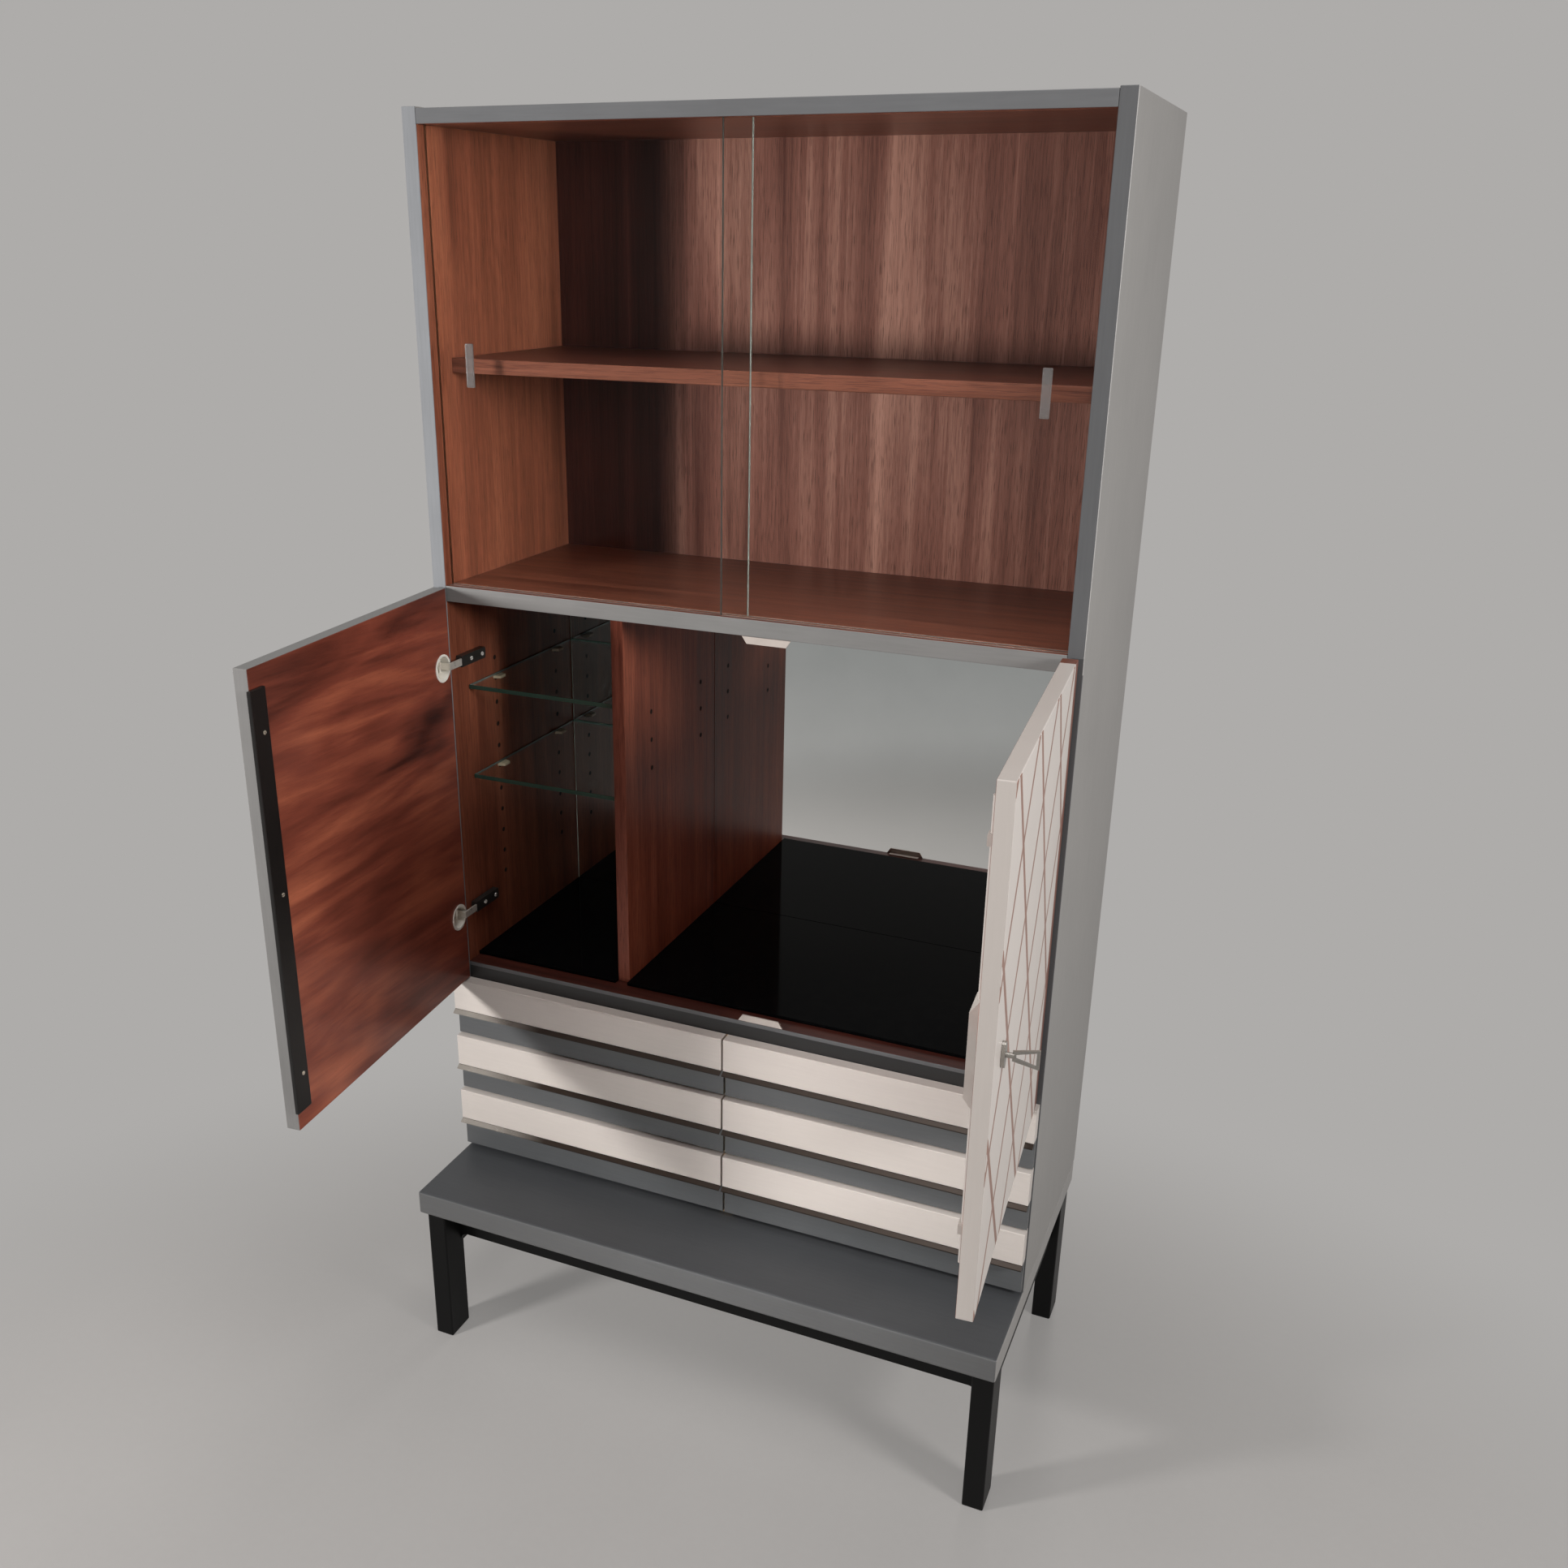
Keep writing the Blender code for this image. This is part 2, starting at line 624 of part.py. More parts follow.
def build_door(name, hinge, sign):
    """Build a door with its cups, and its hinge arms on the carcass."""
    near = -sign * PIVOT_BACKSET
    far = sign * (door_width - PIVOT_BACKSET)
    xs = sorted((near, far))
    finish = grey_paint if sign > 0 else white_paint
    door = box(
        f"door_{name}", finish, hinge, (xs[0], face_out, door_low), (xs[1], face_in, door_top), DOOR_EDGE
    )
    pocket = cup_floor + CUP_WALL + FIT
    for level, height in hinge_heights.items():
        x = sign * (CUP_BACKSET - PIVOT_BACKSET)
        centre = (x, face_in - (pocket - EMBED) / 2, height)
        tool = rod(
            f"cup_pocket_{name}_{level}", None, hinge, centre, CUP_RADIUS + FIT, pocket + EMBED,
            (90, 0, 0), CUP_SIDES,
        )
        cut(door, tool)
        build_cup(f"hinge_cup_{name}_{level}", hinge, sign, height)
        spot = (-sign * pivot_x, pivot_y, height)
        loops = arm_loops(sign)
        arm = solid_outline(f"hinge_arm_{name}_{level}", steel, root, loops, ARM_HEIGHT, spot)
        across = [x for x, y in loops[0] if y > ARM_START - pivot_y - EMBED]
        rise = ARM_BODY_HEIGHT / 2
        low = (spot[0] + min(across) + FIT, ARM_START + FIT, height - rise)
        high = (spot[0] + max(across) - FIT, ARM_END - FIT, height + rise)
        join(arm, box(f"hinge_arm_body_{name}_{level}", None, root, low, high))
    return door


def build_left_door():
    """Build the left door with the strip that covers the middle gap."""
    hinge = make_empty("hinge_axis_left", (-pivot_x, pivot_y, 0), root, -LEFT_OPEN)
    build_door("left", hinge, 1)
    edge = door_width - PIVOT_BACKSET + STRIP_OVERLAP
    low = (edge - STRIP_WIDTH, face_in + FIT, floor_top + STRIP_END)
    high = (edge, face_in + FIT + STRIP_THICKNESS, middle_low - STRIP_END)
    box("overlap_strip", black_paint, hinge, low, high, 0.0012)


def build_right_door():
    """Build the right door with its lock case, key, plate and rods."""
    hinge = make_empty("hinge_axis_right", (pivot_x, pivot_y, 0), root, RIGHT_OPEN)
    door = build_door("right", hinge, -1)
    rod_y = face_in + ROD_FROM_DOOR
    tips = {
        "lower": floor_top + FIT + KEEPER_HEIGHT + ROD_TIP_GAP,
        "upper": middle_low - FIT - KEEPER_HEIGHT - ROD_TIP_GAP,
    }
    key_length = KEY_SHANK + DOOR_THICKNESS + KEY_INSIDE
    key_hole = rod(
        "key_hole", None, hinge, (lock_x, face_in + FIT, lock_z), KEY_RADIUS + FIT,
        2 * (DOOR_THICKNESS + PLATE_THICKNESS + EMBED), (90, 0, 0),
    )
    cut(door, key_hole)
    for level, sign in (("lower", 1), ("upper", -1)):
        middle = tips[level] + sign * ROD_GUIDE_FROM_TIP
        low = (lock_x - ROD_GUIDE / 2, face_in - EMBED, middle - ROD_GUIDE / 2)
        high = (lock_x + ROD_GUIDE / 2, rod_y + ROD_RADIUS + EMBED, middle + ROD_GUIDE / 2)
        join(door, box(f"rod_guide_{level}", None, hinge, low, high))
        eye = (lock_x, rod_y, middle)
        cut(door, rod(f"rod_guide_eye_{level}", None, hinge, eye, ROD_RADIUS + FIT, ROD_GUIDE * 2))
        inner_end = lock_z - sign * (KEY_RADIUS + FIT * 5)
        centre = (lock_x, rod_y, (inner_end + tips[level]) / 2)
        rod(f"lock_rod_{level}", steel, hinge, centre, ROD_RADIUS, abs(inner_end - tips[level]))
    tall = CASE_HEIGHT / 2
    loop = [(FIT, -tall), (CASE_DEPTH, -tall + CASE_SLOPE), (CASE_DEPTH, tall - CASE_SLOPE), (FIT, tall)]
    edge = PIVOT_BACKSET - door_width + CASE_FROM_EDGE
    spot = (edge + CASE_WIDTH / 2, face_in, lock_z)
    case = solid_outline("lock_case", cream, hinge, [loop], CASE_WIDTH, spot, (90, 0, 90))
    channel = rod(
        "rod_channel", None, hinge, (lock_x, rod_y, lock_z), ROD_RADIUS + FIT, CASE_HEIGHT + EMBED
    )
    cut(case, channel)
    socket_end = face_in + KEY_INSIDE + FIT
    socket_length = KEY_INSIDE + 2 * EMBED
    socket_mid = socket_end - socket_length / 2
    socket = rod(
        "key_socket", None, hinge, (lock_x, socket_mid, lock_z), KEY_RADIUS + FIT, socket_length, (90, 0, 0)
    )
    cut(case, socket)
    plate_mid = face_out - FIT - PLATE_THICKNESS / 2
    plate = rod("key_plate", steel, hinge, (lock_x, plate_mid, lock_z), 0.5, PLATE_THICKNESS, (90, 0, 0), 24)
    plate.scale = (PLATE_WIDTH, PLATE_HEIGHT, 1)
    cut(plate, key_hole)
    axis = make_empty("key_axis", (lock_x, 0, lock_z), hinge)
    key_mid = face_in + KEY_INSIDE - key_length / 2
    key = rod("lock_key", steel, axis, (0, key_mid, 0), KEY_RADIUS, key_length, (90, 0, 0))
    near = face_out - KEY_SHANK
    far = near - KEY_BOW_LENGTH
    ring = [(near + EMBED, KEY_BOW_ROOT / 2), (far, KEY_BOW_TIP / 2)]
    ring += [(far, -KEY_BOW_TIP / 2), (near + EMBED, -KEY_BOW_ROOT / 2)]
    hole = [(near - KEY_BOW_BAR / 2, KEY_BOW_ROOT / 2 - KEY_BOW_BAR)]
    hole += [(far + KEY_BOW_BAR, KEY_BOW_TIP / 2 - KEY_BOW_BAR)]
    hole += [(far + KEY_BOW_BAR, -KEY_BOW_TIP / 2 + KEY_BOW_BAR)]
    hole += [(near - KEY_BOW_BAR / 2, -KEY_BOW_ROOT / 2 + KEY_BOW_BAR)]
    bow = solid_outline("key_bow", None, axis, [ring, hole], KEY_BOW_THICKNESS, (0, 0, 0), (90, 0, 90))
    join(key, bow)


def build_drawer(side, sign, row):
    """Build one drawer: front, box and pull strip."""
    carrier = make_empty(f"drawer_{side}_{row}", (0, 0, 0), root)
    top = row_top(row)
    low = top - front_height - (LOWEST_FRONT_EXTRA if row == ROWS[-1] else 0)
    face = -FRONT_STANDOFF - FRONT_THICKNESS
    slat_low = top - SLAT_HEIGHT
    recess = face + REBATE_DEPTH
    wide = half - FRONT_REVEAL - FRONT_SPLIT / 2
    middle = sign * (wide + FRONT_SPLIT) / 2
    loop = [(-FRONT_STANDOFF, low), (-FRONT_STANDOFF, top), (face + SLAT_EDGE, top), (face, top - SLAT_EDGE)]
    loop += [(face, slat_low + SLAT_EDGE), (face + SLAT_EDGE, slat_low), (recess, slat_low), (recess, low)]
    outline(f"drawer_front_{side}_{row}", white_paint, carrier, [loop], wide, (middle, 0, 0), (90, 0, 90))
    under = slat_low - FIT
    back = recess - FIT
    lip = face - PULL_REACH
    loop = [(back, under), (face, under), (lip, under - PULL_DROP), (lip, under - PULL_DROP - PULL_SHEET)]
    loop += [(face, under - PULL_SHEET), (back, under - PULL_SHEET)]
    outline(f"drawer_pull_{side}_{row}", bronze, carrier, [loop], wide, (middle, 0, 0), (90, 0, 90))
    xs = sorted((sign * (inner - BOX_PLAY), sign * (PARTITION_THICKNESS / 2 + BOX_PLAY)))
    z0 = box_low(row)
    z1 = z0 + box_height
    tray = box(
        f"drawer_box_{side}_{row}", wood_light, carrier, (xs[0], box_front, z0), (xs[1], box_back, z1)
    )
    hollow_low = (xs[0] + BOX_WALL, box_front + BOX_WALL, z0 + BOX_BOTTOM)
    hollow_high = (xs[1] - BOX_WALL, box_back - BOX_WALL, z1 + EMBED)
    cut(tray, box(f"drawer_hollow_{side}_{row}", None, carrier, hollow_low, hollow_high))
    depth = RUNNER_PROJECTION - BOX_PLAY + GROOVE_PLAY
    low_z = runner_z(row) - RUNNER_HEIGHT / 2 - GROOVE_PLAY
    high_z = runner_z(row) + RUNNER_HEIGHT / 2 + FIT
    for place, x0, x1 in (("left", xs[0] - EMBED, xs[0] + depth), ("right", xs[1] - depth, xs[1] + EMBED)):
        start = (x0, box_front + BOX_WALL / 2, low_z)
        groove = box(f"groove_{side}_{row}_{place}", None, carrier, start, (x1, box_back + EMBED, high_z))
        cut(tray, groove)


clear_scene()
cabinet_parts = make_collection("bar_cabinet")
cutters = make_collection("bar_cabinet_cutters")
cutters.hide_render = True

grey_paint = make_finish("grey_paint", (128, 128, 127), 0.45)
dark_grey = make_finish("dark_grey_paint", (84, 85, 88), 0.45)
white_paint = make_finish("white_paint", (205, 200, 193), 0.4)
black_paint = make_finish("black_paint", (22, 22, 22), 0.4)
mahogany = make_finish("mahogany", (112, 58, 42), 0.35)
mahogany_dark = make_finish("mahogany_dark", (92, 58, 50), 0.4)
wood_light = make_finish("pale_wood", (186, 150, 108), 0.6)
clear_glass = make_finish("clear_glass", (235, 242, 240), 0.03, 0.0, 1.0)
black_glass = make_finish("black_glass", (10, 10, 11), 0.05)
mirror_silver = make_finish("mirror_silver", (225, 227, 226), 0.03, 1.0)
clear_plastic = make_finish("clear_plastic", (200, 198, 196), 0.2, 0.0, 0.6)
steel = make_finish("dull_steel", (120, 118, 114), 0.4, 1.0)
bronze = make_finish("bronze_strip", (98, 74, 56), 0.35, 1.0)
cream = make_finish("cream_plastic", (215, 208, 195), 0.4)

x_low, x_high, y_low, y_high = outer_box()
root = make_empty("cabinet_datum", (-(x_low + x_high) / 2, -(y_low + y_high) / 2, 0))
build_base()
build_carcass()
build_panes()
build_bar()
build_left_door()
build_right_door()
for column, direction in (("left", -1), ("right", 1)):
    for tier in ROWS:
        build_drawer(column, direction, tier)
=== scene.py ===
"""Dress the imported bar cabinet: paints, mahogany, glass, mirror and small fittings.

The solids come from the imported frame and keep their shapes. This script gives
every solid its finish, adds the fittings that are too small for the solids, and
sets a plain studio around the cabinet.
"""

from __future__ import annotations

import json
import logging
import math
from dataclasses import dataclass, field, replace
from enum import Enum
from typing import Optional, Sequence, Union

import bmesh
import bpy
from mathutils import Matrix, Vector

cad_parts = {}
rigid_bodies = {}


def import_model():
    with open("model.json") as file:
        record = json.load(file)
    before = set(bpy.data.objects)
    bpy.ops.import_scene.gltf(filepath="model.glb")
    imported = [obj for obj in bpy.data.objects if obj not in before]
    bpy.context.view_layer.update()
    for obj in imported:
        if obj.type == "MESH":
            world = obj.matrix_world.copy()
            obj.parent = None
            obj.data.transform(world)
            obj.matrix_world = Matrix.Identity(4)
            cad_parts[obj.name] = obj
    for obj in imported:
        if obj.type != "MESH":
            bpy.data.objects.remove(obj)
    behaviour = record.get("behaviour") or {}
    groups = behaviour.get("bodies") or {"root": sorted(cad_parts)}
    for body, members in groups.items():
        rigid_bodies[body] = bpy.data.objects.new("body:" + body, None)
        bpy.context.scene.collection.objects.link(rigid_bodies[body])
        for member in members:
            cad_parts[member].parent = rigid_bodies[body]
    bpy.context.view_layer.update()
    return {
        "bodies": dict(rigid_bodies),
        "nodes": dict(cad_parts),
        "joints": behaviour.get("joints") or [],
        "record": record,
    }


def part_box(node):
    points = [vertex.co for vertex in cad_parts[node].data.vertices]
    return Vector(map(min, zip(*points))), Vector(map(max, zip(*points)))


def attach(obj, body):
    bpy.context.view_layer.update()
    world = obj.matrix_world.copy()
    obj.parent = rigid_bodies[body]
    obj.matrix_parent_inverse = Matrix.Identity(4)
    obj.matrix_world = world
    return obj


LOG = logging.getLogger("bar_cabinet")

# How deep the finish of a face reaches into its board, in metres.
SKIN = 0.0004

# Where the darker and the lighter tone of a two-tone pattern stand.
LOW_TONE = 0.3
HIGH_TONE = 0.7

Socket = bpy.types.NodeSocket
Material = bpy.types.Material
Owner = Union[bpy.types.Material, bpy.types.World]
Value = Union[float, Sequence[float], Socket]
Colour = tuple[float, float, float]
Point = tuple[float, float, float]
Bounds = tuple[Optional[float], Optional[float]]


def shade(red: float, green: float, blue: float) -> Colour:
    """Turn a display colour into the linear colour that a shader reads.

    Args:
        red: Red as seen on a display, 0 to 255.
        green: Green as seen on a display, 0 to 255.
        blue: Blue as seen on a display, 0 to 255.

    Returns:
        The linear colour.
    """
    parts = []
    for part in (red, green, blue):
        share = part / 255
        parts.append(share / 12.92 if share <= 0.04045 else ((share + 0.055) / 1.055) ** 2.4)
    return tuple(parts)


def scaled(colour: Colour, factor: float) -> Colour:
    """Return the colour made lighter or darker by a factor."""
    return tuple(min(part * factor, 1.0) for part in colour)


class Grain(Enum):
    """The way that grain, brush marks or polishing lines run."""

    ALONG_X = 0
    ALONG_Y = 1
    ALONG_Z = 2

    def stretch(self, across: float, along: float) -> Point:
        """Return the scale of a pattern drawn out along the grain.

        Args:
            across: Pattern scale across the grain.
            along: Pattern scale along the grain.

        Returns:
            The scale on X, Y and Z.
        """
        scale = [across, across, across]
        scale[self.value] = along
        return tuple(scale)


class Side(Enum):
    """The two sides of the cabinet as one stands in front of it."""

    LEFT = "left"
    RIGHT = "right"

    @property
    def sign(self) -> int:
        """Return the direction of this side along X."""
        return -1 if self is Side.LEFT else 1


class Row(Enum):
    """The three rows of drawers."""

    UPPER = "upper"
    MIDDLE = "middle"
    LOWER = "lower"


class Level(Enum):
    """The two heights of hinges and glass shelves."""

    LOWER = "lower"
    UPPER = "upper"


class Graph:
    """The node tree of a material or world, with short calls to add and join nodes."""

    def __init__(self, owner: Owner) -> None:
        """Start an empty tree.

        Args:
            owner: The material or world that the tree belongs to.
        """
        owner.use_nodes = True
        self.owner = owner
        self.tree = owner.node_tree
        self.tree.nodes.clear()

    def node(self, kind: str, **settings: object) -> bpy.types.Node:
        """Add a node and set its properties.

        Args:
            kind: The node's type name.
            **settings: Properties of the node.

        Returns:
            The new node.
        """
        made = self.tree.nodes.new(kind)
        for name, value in settings.items():
            setattr(made, name, value)
        return made

    def feed(self, socket: Socket, value: Value) -> None:
        """Join an input to a socket, or set its value.

        Args:
            socket: The input.
            value: An output socket, a number or a colour.
        """
        if isinstance(value, Socket):
            self.tree.links.new(value, socket)
        elif isinstance(value, (int, float)):
            socket.default_value = value
        elif socket.type == "RGBA":
            socket.default_value = (*value, 1.0)
        else:
            socket.default_value = tuple(value)

    def fill(self, node: bpy.types.Node, values: dict[str, Value]) -> None:
        """Feed several inputs of a node, each by its name."""
        for name, value in values.items():
            self.feed(node.inputs[name], value)

    def math(self, operation: str, first: Value, second: Value = 0.0, clamp: bool = False) -> Socket:
        """Add a sum of two values.

        Args:
            operation: The node's operation.
            first: The first value.
            second: The second value.
            clamp: Whether the answer stays from 0 to 1.

        Returns:
            The answer.
        """
        made = self.node("ShaderNodeMath", operation=operation, use_clamp=clamp)
        self.feed(made.inputs[0], first)
        self.feed(made.inputs[1], second)
        return made.outputs[0]

    def weigh(self, first: Socket, second: Socket, share: float) -> Socket:
        """Return two patterns added by weight, with the second one's share from 0 to 1."""
        return self.math("ADD", self.math("MULTIPLY", first, 1 - share), self.math("MULTIPLY", second, share))

    def spread(self, factor: Socket, low: float, high: float) -> Socket:
        """Move a pattern from 0..1 to another range.

        Args:
            factor: The pattern.
            low: The new value at 0.
            high: The new value at 1.

        Returns:
            The moved pattern.
        """
        made = self.node("ShaderNodeMapRange", clamp=True)
        self.fill(made, {"Value": factor, "To Min": low, "To Max": high})
        return made.outputs["Result"]

    def blend(self, factor: Value, below: Value, above: Value) -> Socket:
        """Lay one colour over another.

        Args:
            factor: How much of the upper colour shows.
            below: The lower colour.
            above: The upper colour.

        Returns:
            The mixed colour.
        """
        made = self.node("ShaderNodeMix", data_type="RGBA")
        self.feed(made.inputs[0], factor)
        self.feed(made.inputs[6], below)
        self.feed(made.inputs[7], above)
        return made.outputs[2]

    def blend_value(self, factor: Value, below: Value, above: Value) -> Socket:
        """Lay one value over another.

        Args:
            factor: How much of the upper value shows.
            below: The lower value.
            above: The upper value.

        Returns:
            The mixed value.
        """
        made = self.node("ShaderNodeMix", data_type="FLOAT")
        self.feed(made.inputs[0], factor)
        self.feed(made.inputs[2], below)
        self.feed(made.inputs[3], above)
        return made.outputs[0]

    def noise(
        self,
        place: Socket,
        scale: Value,
        detail: float = 2.0,
        roughness: float = 0.5,
        distortion: float = 0.0,
    ) -> Socket:
        """Add a noise pattern.

        Args:
            place: The coordinates.
            scale: One scale, or a scale on each axis.
            detail: Layers of finer noise.
            roughness: The say of the finer layers.
            distortion: How far the pattern wanders.

        Returns:
            The pattern, from 0 to 1.
        """
        if not isinstance(scale, (int, float)):
            place = self.mapped(place, scale=scale)
            scale = 1.0
        made = self.node("ShaderNodeTexNoise")
        self.fill(made, {"Vector": place, "Scale": scale, "Detail": detail})
        self.fill(made, {"Roughness": roughness, "Distortion": distortion})
        return made.outputs[0]

    def ramp(self, factor: Socket, stops: Sequence[tuple[float, Colour]]) -> Socket:
        """Colour a pattern by a row of stops.

        Args:
            factor: The pattern.
            stops: Places from 0 to 1 with their colours.

        Returns:
            The colour.
        """
        made = self.node("ShaderNodeValToRGB")
        elements = made.color_ramp.elements
        while len(elements) < len(stops):
            elements.new(1.0)
        for element, (position, colour) in zip(elements, stops):
            element.position = position
            element.color = (*colour, 1.0)
        self.feed(made.inputs[0], factor)
        return made.outputs[0]

    def tones(self, factor: Socket, low: Colour, high: Colour) -> Socket:
        """Return a pattern coloured by two tones."""
        return self.ramp(factor, ((LOW_TONE, low), (HIGH_TONE, high)))

    def mapped(
        self, place: Socket, scale: Sequence[float] = (1, 1, 1), turn: Sequence[float] = (0, 0, 0)
    ) -> Socket:
        """Turn and stretch coordinates.

        Args:
            place: The coordinates.
            scale: The scale on each axis.
            turn: The turn about each axis, in radians.

        Returns:
            The new coordinates.
        """
        made = self.node("ShaderNodeMapping", vector_type="POINT")
        self.fill(made, {"Vector": place, "Rotation": turn, "Scale": scale})
        return made.outputs[0]

    def split(self, place: Socket) -> bpy.types.NodeOutputs:
        """Take coordinates apart.

        Args:
            place: The coordinates.

        Returns:
            The outputs for X, Y and Z.
        """
        parts = self.node("ShaderNodeSeparateXYZ")
        self.feed(parts.inputs[0], place)
        return parts.outputs

    def within(self, place: Socket, region: Region) -> Socket:
        """Mark the inside of a region.

        Args:
            place: The coordinates that the region is measured in.
            region: The region, with a bound on one side at least.

        Returns:
            1 inside and 0 outside.
        """
        parts = self.split(place)
        inside: Optional[Socket] = None
        for axis, (low, high) in enumerate((region.x, region.y, region.z)):
            for bound, operation, way in ((low, "GREATER_THAN", 1), (high, "LESS_THAN", -1)):
                if bound is None:
                    continue
                if region.soft:
                    past = self.math("SUBTRACT", parts[axis], bound)
                    past = self.math("MULTIPLY", past, way / region.soft)
                    side = self.math("ADD", past, 0.5, clamp=True)
                else:
                    side = self.math(operation, parts[axis], bound)
                inside = side if inside is None else self.math("MULTIPLY", inside, side)
        return inside

    def seen(self) -> Socket:
        """Mark what the camera sees, straight or by mirror and glass.

        Returns:
            1 where the camera sees it and 0 where it lights other things.
        """
        path = self.node("ShaderNodeLightPath")
        seen = self.math("MAXIMUM", path.outputs["Is Camera Ray"], path.outputs["Is Glossy Ray"])
        return self.math("MAXIMUM", seen, path.outputs["Is Transmission Ray"])

    def shader(self, kind: str, values: dict[str, Value]) -> Socket:
        """Add a shader and feed its inputs.

        Args:
            kind: The shader's type name.
            values: What each input gets, by the input's name.

        Returns:
            The shader.
        """
        made = self.node(kind)
        self.fill(made, values)
        return made.outputs[0]

    def mixed(self, factor: Socket, first: Socket, second: Socket) -> Socket:
        """Mix two shaders.

        Args:
            factor: How much of the second shader shows.
            first: The first shader.
            second: The second shader.

        Returns:
            The mixed shader.
        """
        made = self.node("ShaderNodeMixShader")
        for socket, value in zip(made.inputs, (factor, first, second)):
            self.feed(socket, value)
        return made.outputs[0]

    def close(self, shader: Socket) -> Owner:
        """Join a shader to the output.

        Args:
            shader: The shader.

        Returns:
            The finished material or world.
        """
        is_world = isinstance(self.owner, bpy.types.World)
        out = self.node("ShaderNodeOutputWorld" if is_world else "ShaderNodeOutputMaterial")
        self.feed(out.inputs["Surface"], shader)
        return self.owner


@dataclass(frozen=True)
class Region:
    """A box in a board's own coordinates, open where a bound is None.

    Its sides fade over a length if one is given.
    """

    x: Bounds = (None, None)
    y: Bounds = (None, None)
    z: Bounds = (None, None)
    soft: float = 0.0


@dataclass(frozen=True)
class Stand:
    """Where a board's own coordinates start, and how they are turned about Z."""

    origin: Point = (0.0, 0.0, 0.0)
    degrees: float = 0.0

    def place(self, graph: Graph) -> Socket:
        """Return the board's own coordinates in a material.

        Args:
            graph: The material's nodes.

        Returns:
            The coordinates.
        """
        place = graph.node("ShaderNodeTexCoord").outputs["Object"]
        if self == Stand():
            return place
        made = graph.node("ShaderNodeMapping", vector_type="TEXTURE")
        turn = (0.0, 0.0, math.radians(self.degrees))
        graph.fill(made, {"Vector": place, "Location": self.origin, "Rotation": turn})
        return made.outputs[0]


@dataclass
class Layer:
    """What one surface gives a shader: colour, roughness and height."""

    colour: Socket
    rough: Socket
    height: Socket


class Surface:
    """A surface that can be laid on a board, alone or inside a region."""

    def layer(self, graph: Graph, place: Socket) -> Layer:
        """Return this surface's patterns at a board's own coordinates."""
        raise NotImplementedError


@dataclass(frozen=True)
class Paint(Surface):
    """Brushed paint over wood whose grain still shows a little."""

    colour: Colour
    roughness: float = 0.42
    grain: Grain = Grain.ALONG_Z
    mottle: float = 0.07
    brush: float = 340.0
    draw: float = 0.05
    cloud: float = 7.0
    peel: float = 900.0
    stops: tuple[float, float, float] = (0.28, 0.5, 0.74)
    swing: float = 1.6

    def layer(self, graph: Graph, place: Socket) -> Layer:
        """Make the paint's patterns.

        Args:
            graph: The material's nodes.
            place: The board's own coordinates.

        Returns:
            The patterns.
        """
        cloud = graph.noise(place, self.cloud, detail=4.0, roughness=0.6)
        strokes = self.grain.stretch(self.brush, self.brush * self.draw)
        marks = graph.noise(place, strokes, detail=3.0, roughness=0.6)
        peel = graph.noise(place, self.peel)
        swing = self.mottle * self.swing
        tones = (scaled(self.colour, 1 - swing), self.colour, scaled(self.colour, 1 + swing))
        colour = graph.ramp(graph.weigh(cloud, marks, share=0.45), tuple(zip(self.stops, tones)))
        sheen = graph.weigh(cloud, peel, share=0.3)
        rough = graph.spread(sheen, self.roughness - 0.10, self.roughness + 0.12)
        return Layer(colour, rough, graph.weigh(marks, peel, share=0.35))


@dataclass(frozen=True)
class Timber(Surface):
    """Polished wood with bands, streaks and pores along the grain."""

    dark: Colour
    middle: Colour
    light: Colour
    grain: Grain = Grain.ALONG_Z
    band: float = 42.0
    streak: float = 210.0
    draw: float = 0.035
    wander: float = 0.5
    pore: float = 0.55
    roughness: float = 0.34
    slope: float = 0.0
    figure: Point = (4.5, 4.5, 4.5)
    figured: float = 0.18
    streaked: float = 0.42
    stops: tuple[float, float, float] = (0.34, 0.50, 0.67)
    pore_across: float = 1300.0
    pore_along: float = 34.0
    pore_from: float = 0.60
    pore_tone: float = 0.55
    pore_depth: float = 0.6

    def layer(self, graph: Graph, place: Socket) -> Layer:
        """Make the wood's patterns.

        Args:
            graph: The material's nodes.
            place: The board's own coordinates.

        Returns:
            The patterns.
        """
        if self.slope:
            place = graph.mapped(place, turn=(0.0, math.radians(self.slope), 0.0))
        bands = self.grain.stretch(self.band, self.band * self.draw)
        streaks = self.grain.stretch(self.streak, self.streak * self.draw * 0.5)
        dashes = self.grain.stretch(self.pore_across, self.pore_along)
        wide = graph.noise(place, bands, detail=3.0, roughness=0.55, distortion=self.wander)
        fine = graph.noise(place, streaks, detail=4.0, roughness=0.6, distortion=self.wander * 0.4)
        dash = graph.noise(place, dashes, detail=1.0)
        cloud = graph.noise(place, self.figure, distortion=self.wander)
        tone = graph.weigh(graph.weigh(wide, fine, self.streaked), cloud, self.figured)
        colour = graph.ramp(tone, tuple(zip(self.stops, (self.dark, self.middle, self.light))))
        pores = graph.math("GREATER_THAN", graph.spread(dash, 1.0, 0.0), self.pore_from)
        pores = graph.math("MULTIPLY", pores, self.pore)
        colour = graph.blend(pores, colour, scaled(self.dark, self.pore_tone))
        sheen = graph.weigh(fine, cloud, share=0.4)
        rough = graph.spread(sheen, self.roughness - 0.08, self.roughness + 0.12)
        height = graph.math("SUBTRACT", fine, graph.math("MULTIPLY", pores, self.pore_depth))
        return Layer(colour, rough, height)


